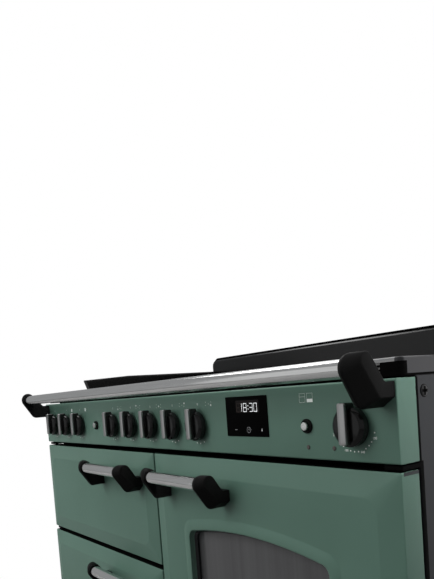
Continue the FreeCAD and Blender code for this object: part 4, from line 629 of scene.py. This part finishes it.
def armOutline(size, where, inset):
    # section of an arm, (y, z) from the mounting face and the bar axis: arcs joined by their tangents
    place = size[where]
    low = inset - size["footLow"] + place["footCut"]
    top = -size["footTop"] - inset
    noseRadius, heelRadius = place["nose"] - inset, place["heel"] - inset
    throatRadius = size["throat"] + inset
    nose = np.array([place["noseBack"] - size["offset"], place["noseUp"]])
    throat = np.array([-size["throatBack"], top + throatRadius])
    heel = np.array([-place["heelBack"], low + heelRadius])

    def touch(target, reach, sign):
        # direction square to the line that touches both circles
        gap = target - nose
        return math.atan2(gap[1], gap[0]) + sign * math.acos(reach / np.hypot(*gap))

    def arc(centre, radius, first, last, steps):
        angle = np.linspace(first, last, steps)
        return centre + radius * np.stack([np.cos(angle), np.sin(angle)], -1)

    upper = touch(throat, noseRadius + throatRadius, 1)
    lower = touch(heel, noseRadius - heelRadius, -1) + fullTurn
    down = 1.5 * math.pi
    return np.concatenate([
        [[0, top]], arc(throat, throatRadius, down, upper + math.pi, size["throatSteps"]),
        arc(nose, noseRadius, upper, lower, size["noseSteps"]),
        arc(heel, heelRadius, lower, down, size["heelSteps"]), [[0, low]],
    ])


def buildBrackets(name, node, body, barNode, size):
    # two moulded arms: the tip, keel and shank sections joined by ruled faces, every rim softened
    low, high = boxOf(node)
    barLow, barHigh = boxOf(barNode)
    origin = np.array([high[1], (barLow[2] + barHigh[2]) / 2])
    tipWidth, shankWidth = size["tipWidth"], size["shankWidth"]
    tip, keel, shank = (armOutline(size, where, 0) for where in ("tip", "keel", "shank"))
    outward, inward = (keel - tip) / tipWidth, (shank - keel) / shankWidth
    rim = rounding(size["rim"], size["rimSteps"])
    # distance in from the outer end, and the outline there
    stations = [(along, armOutline(size, "tip", inset) + (keel - tip) * along / tipWidth)
                for along, inset in rim]
    half = size["keelRound"]
    for t in np.linspace(-1, 1, size["keelSteps"]):
        # parabola that blends the two ruled faces over the keel
        drop = half * ((1 - t) ** 2 * -outward + (1 + t) ** 2 * inward) / 4
        stations.append((tipWidth + half * t, keel + drop))
    stations += [(tipWidth + shankWidth - along,
                  armOutline(size, "shank", inset) + (keel - shank) * along / shankWidth)
                 for along, inset in rim[::-1]]
    arms = [shellOf([squareToX(outline + origin, start + side * along) for along, outline in stations])
            for start, side in ((low[0], 1), (high[0], -1))]
    return putMesh(name, joined(arms), blackMoulding, body, creaseDeg=30)


brackets = [("handrailArms", "handrail_brackets", "cabinet", "handrail", railArm)]
brackets += [(name + "Arms", node + "_handle_brackets", body, node + "_handle_bar", handleArm)
             for name, node, body in handled]
for name, node, body, barNode, size in brackets:
    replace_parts(buildBrackets(name, node, body, barNode, size), node)
print("panel, bars and brackets made")

# height of the knobs' axes above the lower edge of the panel
knobAxis = 44


def buildKnob(number):
    # turned base with a bevelled rim, a grip bar lofted from its foot to its crown, and a plated strip
    # shares run from skirt to face or from foot to crown; an edge is a list of (share or depth, inset)
    size = {"gap": 2.5, "depth": 12.5, "radius": 24.5, "skirt": 8.5, "backEdge": 0.5, "skirtEdge": 0.4,
            "faceEdge": 0.6, "hub": 0.2, "steps": 72, "bevel": 5, "bevelShares": (0.06, 0.94, 8),
            "bevelStraight": 0.75, "bevelCurved": 0.25, "reach": 23, "grip": 6, "shift": 4, "corner": 3,
            "footWidth": 13, "crownWidth": 11.8, "footLength": 50, "crownLength": 50.8,
            "gripFoot": ((0.0, 0.6), (0.04, 0.0)), "gripShares": (0.15, 0.94, 6),
            "gripCrown": ((0.98, 0.2), (1.0, 0.6)), "stripWidth": 11, "stripLength": 50, "stripSheet": 3,
            "stripCorner": 2.6, "stripEdge": ((0.6, 0), (0.25, 0.12), (0, 0.5))}
    node, body = "knob_%d" % number, "knob_%d_body" % number
    low, high = boxOf(node)
    centre = np.array([(low[0] + high[0]) / 2, frontY, panelBottom + knobAxis])
    back, face, rim = -size["gap"], -size["gap"] - size["depth"], size["radius"]
    run = size["depth"] - size["skirt"]
    profile = [(back, size["hub"]), (back, rim - size["backEdge"]), (back - size["backEdge"], rim),
               (back - size["skirt"] + size["skirtEdge"], rim)]
    # bevel: slightly rounded fall from the skirt to the face
    for t in np.linspace(*size["bevelShares"]):
        fall = size["bevel"] * (size["bevelStraight"] * t + size["bevelCurved"] * t * t)
        profile.append((back - size["skirt"] - run * t, rim - fall))
    profile += [(face, rim - size["bevel"] - size["faceEdge"]), (face, size["hub"])]
    front = size["stripSheet"] - size["reach"]

    def upright(width, length, corner):
        # rounded bar outline, shifted up from the axis
        low, high = size["shift"] - length / 2, size["shift"] + length / 2
        return archLoop(width, low, high, 0, corner, cornerSteps=6, topSteps=4)

    def gripLoop(share, inset):
        # outline between the foot (0) and the crown (1)
        width = size["footWidth"] + (size["crownWidth"] - size["footWidth"]) * share - 2 * inset
        length = size["footLength"] + (size["crownLength"] - size["footLength"]) * share - 2 * inset
        return upright(width, length, size["corner"])

    start = -size["grip"]
    flank = [(share, 0.0) for share in np.linspace(*size["gripShares"])]
    stations = [*size["gripFoot"], *flank, *size["gripCrown"]]
    grip = [facing(gripLoop(share, inset), start + (front - start) * share) for share, inset in stations]
    points, faces = joined([shellOf(turned(profile, size["steps"])), shellOf(grip)])
    moulding = (points + centre, faces)
    knob = putMesh("knob%dMoulding" % number, moulding, knobBlack, body, creaseDeg=25)
    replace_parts(knob, node)
    strip = []
    for behind, inset in ((size["stripSheet"], 0), *size["stripEdge"]):
        width, length = size["stripWidth"] - 2 * inset, size["stripLength"] - 2 * inset
        strip.append(facing(upright(width, length, size["stripCorner"]), behind - size["reach"]) + centre)
    skinLoops("knob%dStrip" % number, strip, stripMetal, body, creaseDeg=35)


for number in range(1, 10):
    buildKnob(number)
print("knobs made")


def buildButton(name, node, body):
    # turned cap with a softened rim, standing out of its bezel
    size = {"radius": 5.6, "reach": 7, "rim": 1.0, "rimSteps": 6, "stem": 8.3, "hub": 0.2, "steps": 40}
    low, high = boxOf(node)
    centre = np.array([(low[0] + high[0]) / 2, frontY, (low[2] + high[2]) / 2])
    reach, radius = size["reach"], size["radius"]
    profile = [(size["stem"], size["hub"]), (size["stem"], radius)]
    profile += [(along - reach, radius - inset) for inset, along in rounding(size["rim"], size["rimSteps"])]
    profile += [(-reach, size["hub"])]
    loops = [loop + centre for loop in turned(profile, size["steps"])]
    return skinLoops(name, loops, buttonMetal, body)


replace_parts(buildButton("leftButtonCap", "left_button", "left_button_body"), "left_button")
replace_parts(buildButton("rightButtonCap", "right_button", "right_button_body"), "right_button")


def buildBezels():
    # two moulded rings: bored sleeve with a rounded flange on the panel face
    size = {"outer": 9.6, "flange": 3.2, "bore": 5.7, "boreEdge": 0.5, "reach": 3, "rim": 1.2, "rimSteps": 5,
            "back": 6, "seat": 8, "steps": 40}
    low, high = boxOf("button_bezels")
    reach, outer, bore, sleeve = size["reach"], size["outer"], size["bore"], size["outer"] - size["flange"]
    profile = [(size["back"], bore), (size["back"], sleeve), (0, sleeve), (0, outer)]
    profile += [(along - reach, outer - inset) for inset, along in rounding(size["rim"], size["rimSteps"])]
    profile += [(-reach, bore + size["boreEdge"]), (-reach + size["boreEdge"], bore)]
    middle, circles = (low[2] + high[2]) / 2, turned(profile, size["steps"])
    rings = [shellOf([circle + [x, frontY, middle] for circle in circles], closed=True)
             for x in (low[0] + size["seat"], high[0] - size["seat"])]
    return putMesh("buttonBezelRings", joined(rings), blackMoulding, "cabinet")


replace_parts(buildBezels(), "button_bezels")
print("buttons made")


# printed legends: flat shapes a tenth of a millimetre proud of the face

def discs(centres, radius, y, steps=16):
    # one fan of points per centre, wound to face the front
    points = np.concatenate([facing(ring(radius, steps), y, x, z) for x, z in centres])
    return points, np.arange(len(points)).reshape(-1, steps).tolist()


def quads(corners, y):
    # flat four-cornered shapes, corners (x, z) anticlockwise seen from the front
    points = np.array([(x, y, z) for shape in corners for x, z in shape], dtype=float)
    return points, np.arange(len(points)).reshape(-1, 4).tolist()


def bar(x0, z0, x1, z1):
    return [(x0, z0), (x1, z0), (x1, z1), (x0, z1)]


def frameBars(x0, z0, x1, z1, line):
    # open rectangle from four strokes
    return [bar(x0, z0, x1, z0 + line), bar(x0, z1 - line, x1, z1),
            bar(x0, z0 + line, x0 + line, z1 - line), bar(x1 - line, z0 + line, x1, z1 - line)]


printProud = 0.1
printY = frontY - printProud
knobX = [sum(corner[0] for corner in boxOf("knob_%d" % number)) / 2 for number in range(1, 10)]
knobZ = panelBottom + knobAxis


def dialPoint(x, radius, clockwise):
    # place on the dial of the knob at x, the angle taken in degrees clockwise from the top
    angle = math.radians(clockwise)
    return x + radius * math.sin(angle), knobZ + radius * math.cos(angle)


def panelPrints():
    oven = {"dialRadius": 31, "figureRadius": 33, "firstMark": 104, "markStep": 11.25, "markCount": 15,
            "dot": 0.85, "figures": {1: "100", 5: "140", 9: "180", 13: "220"}, "figureSize": 4.2}
    zone = {"radius": 30, "dot": 1.05, "angles": (195, 176, 154), "markHalf": 0.5, "served": 1.5,
            "spots": ((24.5, 860.1), (24.5, 865.3), (32.3, 862.2), (39.6, 865.2), (38.6, 860.1))}
    offMark = {"shift": 0.8, "z": 862.4, "halfWidth": 0.9, "halfHeight": 1.6, "line": 0.4}
    fullSign = {"left": 30, "right": 35.5, "low": 859, "high": 866}
    layout = {"left": 397.0, "low": 858.0, "high": 870.0, "width": 10.5, "second": 13.5, "shelf": 865.4,
              "filled": 4.5, "line": 0.26}
    zoneX, ovenX = knobX[:8], knobX[8]
    angles = [oven["firstMark"] + oven["markStep"] * step for step in range(oven["markCount"])]
    ovenDots = [dialPoint(ovenX, oven["dialRadius"], angle)
                for step, angle in enumerate(angles) if step not in oven["figures"]]
    zoneDots = [dialPoint(x, zone["radius"], angle) for x in zoneX for angle in zone["angles"]]
    # five cooking zones as faint marks beside the last five zone dials, the one that the knob serves filled
    half = zone["markHalf"]
    served = [(x + u, v) for x, (u, v) in zip(zoneX[3:], zone["spots"])]
    strokes = [bar(x + u - half, v - half, x + u + half, v + half)
               for x in zoneX[3:] for u, v in zone["spots"]]
    # filled signs beside the second and third dials
    for x in zoneX[1:3]:
        strokes.append(bar(x + fullSign["left"], fullSign["low"], x + fullSign["right"], fullSign["high"]))
    # small upright off mark above each zone dial
    wide, tall = offMark["halfWidth"], offMark["halfHeight"]
    for x in zoneX:
        x, z = x + offMark["shift"], offMark["z"]
        strokes += frameBars(x - wide, z - tall, x + wide, z + tall, offMark["line"])
    # layout sign: two cavities side by side, the lower right one marked
    low, high, shelf, line = layout["low"], layout["high"], layout["shelf"], layout["line"]
    left, right = layout["left"], layout["left"] + layout["width"]
    strokes += frameBars(left, low, right, high, line) + [bar(left, shelf, right, shelf + line)]
    left, right = left + layout["second"], right + layout["second"]
    strokes += frameBars(left, low, right, high, line) + [bar(left, low, right, low + layout["filled"])]
    shapes = [discs(ovenDots, oven["dot"], printY), discs(zoneDots, zone["dot"], printY),
              discs(served, zone["served"], printY), quads(strokes, printY)]
    putFlat("panelLegends", shapes, printedWhite)
    upright = Matrix.Rotation(quarterTurn, 4, "X")
    for step, figure in oven["figures"].items():
        x, z = dialPoint(ovenX, oven["figureRadius"], angles[step])
        text = bpy.data.curves.new("dial" + figure, "FONT")
        text.body = figure
        text.size = oven["figureSize"] * mm
        text.align_x, text.align_y = "CENTER", "CENTER"
        holder = bpy.data.objects.new("dialHolder" + figure, text)
        mesh = bpy.data.meshes.new_from_object(holder)
        bpy.data.objects.remove(holder)
        mesh.transform(Matrix.Translation((x * mm, printY * mm, z * mm)) @ upright)
        mesh.materials.clear()
        putPiece("dialFigure" + figure, mesh, printedWhite, "cabinet")


def clockFace():
    # black glass with a softened rim, seven-segment figures, touch signs and a faint lit window
    size = {"height": 60, "corner": 1.5, "rim": 0.5, "digitWidth": 7.4, "digitHeight": 12.8, "stroke": 0.76,
            "segmentGap": 0.2, "left": -14.4, "bottom": 36.8, "advance": 9.7, "colon": 1.4,
            "colonPlace": 2.08, "colonZ": (3.4, 8.2), "windowLeft": -22.5, "windowRight": 30.5,
            "windowBelow": 1, "windowAbove": 4.4, "windowProud": 0.04, "unlitProud": 0.07, "rimShare": 0.3,
            "lit": (("bc", -0.12), ("abcdefg", 1), ("abcdg", 2.45), ("abcdef", 3.45)),
            "unlit": (("abcdef", -0.05), ("abcdefg", -0.75))}
    touch = {"z": 10, "line": 0.36, "minusLeft": -27.4, "minusRight": -22.4, "ringX": 4.9, "ringRadius": 4.4,
             "ringPoints": 33, "longHand": 2, "shortHand": 1.4, "dropX": 34.5, "dropRadius": 1.15,
             "dropDown": 0.5, "neckLow": (0.95, 0.1), "neckHigh": (0.25, 2.3)}
    low, high = boxOf("clock_display")
    centreX, width, base, front = (low[0] + high[0]) / 2, high[0] - low[0], low[2], low[1]

    def plate(inset, y):
        loop = archLoop(width - 2 * inset, inset, size["height"] - inset, 0, size["corner"] - inset)
        return facing(loop, y, centreX, base)

    rim, soft = size["rim"], size["rim"] * size["rimShare"]
    loops = [plate(0, high[1]), plate(0, front + rim), plate(soft, front + soft), plate(rim, front)]
    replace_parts(skinLoops("clockGlass", loops, displayGlass, "cabinet"), "clock_display")
    wide, tall, line, gap = size["digitWidth"], size["digitHeight"], size["stroke"], size["segmentGap"]
    left, right, far, middle = line / 2, wide - line / 2, wide - line, tall / 2
    segments = {
        "a": bar(left, tall - line, right, tall), "g": bar(left, (tall - line) / 2, right, (tall + line) / 2),
        "d": bar(left, 0, right, line), "f": bar(0, middle + gap, line, tall - gap),
        "b": bar(far, middle + gap, wide, tall - gap), "e": bar(0, gap, line, middle - gap),
        "c": bar(far, gap, wide, middle - gap),
    }
    figuresX, figuresZ = centreX + size["left"], base + size["bottom"]

    def figures(shown):
        # segments of several figures, each with its place counted in advances
        return [np.array(segments[key]) + [figuresX + size["advance"] * place, figuresZ]
                for lit, place in shown for key in lit]

    strokes = figures(size["lit"])
    colonX, colon = figuresX + size["advance"] * size["colonPlace"], size["colon"]
    strokes += [bar(colonX, figuresZ + z, colonX + colon, figuresZ + z + colon) for z in size["colonZ"]]
    # touch signs: minus, a clock ring with hands, a drop
    half = touch["line"] / 2
    signZ, ringX, dropX = base + touch["z"], centreX + touch["ringX"], centreX + touch["dropX"]
    signs = [bar(centreX + touch["minusLeft"], signZ - half, centreX + touch["minusRight"], signZ + half)]
    angle = np.linspace(0, fullTurn, touch["ringPoints"])
    circle = np.stack([np.cos(angle), np.sin(angle)], -1)
    centre = np.array([ringX, signZ])
    inner, outer = (centre + circle * (touch["ringRadius"] - inset) for inset in (touch["line"], 0))
    signs += list(zip(inner[:-1], outer[:-1], outer[1:], inner[1:]))
    signs += [bar(ringX - half, signZ, ringX + half, signZ + touch["longHand"]),
              bar(ringX, signZ - half, ringX + touch["shortHand"], signZ + half)]
    drop = [(dropX, signZ - touch["dropDown"])]
    (broad, neckLow), (narrow, neckHigh) = touch["neckLow"], touch["neckHigh"]
    signs.append([(dropX - broad, signZ + neckLow), (dropX + broad, signZ + neckLow),
                  (dropX + narrow, signZ + neckHigh), (dropX - narrow, signZ + neckHigh)])
    printed = front - printProud
    putFlat("clockFigures", [quads(strokes, printed)], litWhite)
    putFlat("clockTouchSigns", [quads(signs, printed), discs(drop, touch["dropRadius"], printed)], dimWhite)
    window = bar(centreX + size["windowLeft"], figuresZ - size["windowBelow"],
                 centreX + size["windowRight"], figuresZ + tall + size["windowAbove"])
    putFlat("clockWindow", [quads([window], front - size["windowProud"])], clockTint)
    putFlat("clockUnlitFigure", [quads(figures(size["unlit"]), front - size["unlitProud"])], unlitFigure)


panelPrints()
clockFace()


def sideScrews():
    # pan-head screws that hold the side sheets: low dome round the X axis; a flat black cross on it is the
    # painted shade of its recess, a black ring round it is painted shadow of the clearance gap, and black
    # strips along the front edge of the sheets are painted shadow of the joints
    size = {"y": -216.5, "z": 864, "radius": 6.8, "crossReach": 5.2, "crossHalf": 1.7, "shadowRingWidth": 0.9,
            "proud": 0.02, "dome": ((1, 0.0), (1, 0.5), (0.86, 1.0), (0.55, 1.3)), "hub": 0.2, "height": 1.4,
            "steps": 32, "panelJointShadow": 3.0, "frontJointShadow": 6.0}
    low, high = boxOf("side_panels")
    frontsLow = boxOf("drawer_front")[0][2]
    dome = [(share * size["radius"], out) for share, out in size["dome"]] + [(size["hub"], size["height"])]
    reach, half = size["crossReach"], size["crossHalf"]
    heads, paintedShadeFlats = [], []

    def circle(x, radius):
        return squareToX(ring(radius, size["steps"]) + [size["y"], size["z"]], x)

    def addFlat(points, faces, side):
        # wound to face outwards
        paintedShadeFlats.append((points, faces if side > 0 else [face[::-1] for face in faces]))

    def addBar(x, y0, y1, z0, z1, side):
        addFlat(squareToX(bar(y0, z0, y1, z1), x), [[0, 1, 2, 3]], side)

    for side, face in ((-1, low[0]), (1, high[0])):
        heads.append(shellOf([circle(face + side * out, radius) for radius, out in dome]))
        top, sheet = face + side * (size["height"] + size["proud"]), face + side * size["proud"]
        # painted shade: the cross recess is a flat black cross on the dome
        for along, across in ((reach, half), (half, reach)):
            addBar(top, size["y"] - along, size["y"] + along, size["z"] - across, size["z"] + across, side)
        # painted shadow of the joints: black strips along the front edge of the sheet
        addBar(sheet, low[1], low[1] + size["panelJointShadow"], panelLow[2], panelHigh[2], side)
        addBar(sheet, low[1], low[1] + size["frontJointShadow"], frontsLow, panelLow[2], side)
        # painted shadow of the clearance gap: a black ring round the head
        rings = [circle(sheet, radius) for radius in (size["radius"], size["radius"] + size["shadowRingWidth"])]
        inner = np.arange(size["steps"])
        after = (inner + 1) % size["steps"]
        ringFaces = np.stack([inner, inner + size["steps"], after + size["steps"], after], -1).tolist()
        addFlat(np.concatenate(rings), ringFaces, side)
    putMesh("sideScrewHeads", joined(heads), screwSteel, "cabinet")
    putFlat("sideScrewPaintedShade", paintedShadeFlats, frameBlack)


sideScrews()
print("legends and screws made")


# stage: pale floor, white surround and soft studio light

def whiteShown(tree, path, ahead, start, end):
    # share of white backdrop: full to the camera, and in metal and glass only behind the cooker
    mirrored = calc(tree, "MAXIMUM", path["Is Glossy Ray"], path["Is Transmission Ray"])
    behind = calc(tree, "MULTIPLY", mirrored, smoothStep(tree, ahead, start, end))
    return calc(tree, "MAXIMUM", behind, path["Is Camera Ray"])


def paleFloor():
    # matt vinyl sweep, lit to white away from the cooker so that no edge shows
    look = {"nearM": 0.75, "farM": 1.5, "dull": "#707070"}
    material = grained(
        "paleStudioFloor", ("#e6e6e6", "#ebebeb"), coated(0.2, 1.4), grainMm=30, gloss=(0.6, 0.7))
    tree, vinyl, surface, place = layered(material)
    path = addNode(tree, "ShaderNodeLightPath", {}, {}).outputs
    reach = addNode(tree, "ShaderNodeVectorMath", {"operation": "LENGTH"}, {0: place}).outputs["Value"]
    away = smoothStep(tree, reach, look["nearM"], look["farM"])
    shown = whiteShown(tree, path, axesOf(tree, place)["Y"], look["nearM"], look["farM"])
    glow = addNode(tree, "ShaderNodeEmission", {}, {"Color": (1, 1, 1, 1), "Strength": 1.0})
    # the cooker itself sees a duller floor, so that little light comes up from below
    dull = addNode(tree, "ShaderNodeBsdfDiffuse", {}, {"Color": toLinear(look["dull"])})
    lit = mixShaders(tree, path["Is Camera Ray"], dull.outputs["BSDF"], vinyl)
    white = calc(tree, "MULTIPLY", away, shown)
    tree.links.new(mixShaders(tree, white, lit, glow.outputs["Emission"]), surface)
    return material


def whiteStudio():
    # white backdrop, 60 degrees to each side of straight behind, in a soft surround that is a little brighter
    # in reflections
    look = {"backdrop": 0.5, "edge": 0.03, "soft": "#f4f6f8", "strength": 0.24, "mirrored": 0.06}
    world = bpy.data.worlds.new("whiteStudio")
    world.use_nodes = True
    tree = world.node_tree
    tree.nodes.clear()
    path = addNode(tree, "ShaderNodeLightPath", {}, {}).outputs
    strength = calc(tree, "MULTIPLY_ADD", path["Is Glossy Ray"], look["mirrored"], look["strength"])
    soft = addNode(tree, "ShaderNodeBackground", {}, {"Color": toLinear(look["soft"]), "Strength": strength})
    seen = addNode(tree, "ShaderNodeBackground", {}, {"Color": (1, 1, 1, 1), "Strength": 1.0})
    place = addNode(tree, "ShaderNodeTexCoord", {}, {}).outputs["Generated"]
    start, end = look["backdrop"] - look["edge"], look["backdrop"] + look["edge"]
    white = whiteShown(tree, path, axesOf(tree, place)["Y"], start, end)
    choice = mixShaders(tree, white, soft.outputs["Background"], seen.outputs["Background"])
    addNode(tree, "ShaderNodeOutputWorld", {}, {"Surface": choice})
    return world


def buildStage():
    # floor of 8 m square
    half = 4.0
    mesh = bpy.data.meshes.new("studioFloor")
    corners = [(-half, -half, 0), (half, -half, 0), (half, half, 0), (-half, half, 0)]
    mesh.from_pydata(corners, [], [(0, 1, 2, 3)])
    mesh.materials.append(paleFloor())
    floor = bpy.data.objects.new("studioFloor", mesh)
    scene.collection.objects.link(floor)
    scene.world = whiteStudio()
    # soft panels in metres: place, target, width, power in watts, beam spread in degrees
    lights = [
        ("keyPanel", (-1.5, -2.8, 2.5), (0, -0.2, 0.6), 2.2, 114, 180),
        ("leftFill", (-3.2, -1.4, 1.4), (-0.3, -0.3, 0.6), 1.4, 50, 180),
        ("topPanel", (0.0, -0.3, 3.4), (0, 0, 0.9), 2.4, 56, 180),
        ("sidePanelLight", (1.8, -0.1, 1.7), (0.55, -0.15, 1.06), 0.5, 2.2, 34),
        ("backPanelLight", (0.6, 3.0, 2.6), (0, 0.3, 0.6), 1.8, 30, 180),
        ("frontCard", (-1.5, -3.6, 1.2), (0, -0.3, 0.7), 4.0, 13, 180),
        ("overheadPanel", (-1.15, 0.1, 2.3), (-1.0, 0.0, 0.9), 0.9, 9, 180),
    ]
    for name, position, target, width, power, spread in lights:
        lamp = bpy.data.lights.new(name, "AREA")
        lamp.shape = "SQUARE"
        lamp.size = width
        lamp.energy = power
        lamp.spread = math.radians(spread)
        holder = bpy.data.objects.new(name, lamp)
        holder.location = position
        holder.rotation_euler = (Vector(target) - Vector(position)).to_track_quat("-Z", "Y").to_euler()
        # the last two show in reflections, the last one only there
        holder.visible_glossy = name in ("frontCard", "overheadPanel")
        holder.visible_diffuse = name != "overheadPanel"
        scene.collection.objects.link(holder)


def aimCamera():
    # place, turn and lens solved from the photographed edges; tilt, pan and roll in radians
    view = {"place": (0.948985, -0.811688, 0.880153), "tilt": -0.055, "pan": 0.939, "roll": -0.075,
            "focalPx": 577.964, "widthPx": 434, "heightPx": 579, "axisPx": (217, 424), "sensorMm": 36,
            "nearM": 0.02}
    forward = np.array([-math.sin(view["pan"]), math.cos(view["pan"]), 0])
    right = np.array([math.cos(view["pan"]), math.sin(view["pan"]), 0])
    up = np.array([0.0, 0.0, 1.0])
    ahead = forward * math.cos(view["tilt"]) + up * math.sin(view["tilt"])
    above = up * math.cos(view["tilt"]) - forward * math.sin(view["tilt"])
    across = right * math.cos(view["roll"]) + above * math.sin(view["roll"])
    above = above * math.cos(view["roll"]) - right * math.sin(view["roll"])
    camera = bpy.data.cameras.new("photoCamera")
    camera.sensor_width = view["sensorMm"]
    camera.lens = view["sensorMm"] * view["focalPx"] / view["heightPx"]
    camera.shift_x = (view["widthPx"] / 2 - view["axisPx"][0]) / view["heightPx"]
    camera.shift_y = (view["axisPx"][1] - view["heightPx"] / 2) / view["heightPx"]
    camera.clip_start = view["nearM"]
    holder = bpy.data.objects.new("photoCamera", camera)
    matrix = np.eye(4)
    matrix[:3, :3] = np.column_stack([across, above, -ahead])
    matrix[:3, 3] = view["place"]
    holder.matrix_world = Matrix(matrix.tolist())
    scene.collection.objects.link(holder)
    scene.camera = holder


buildStage()
aimCamera()
print("stage and camera set")
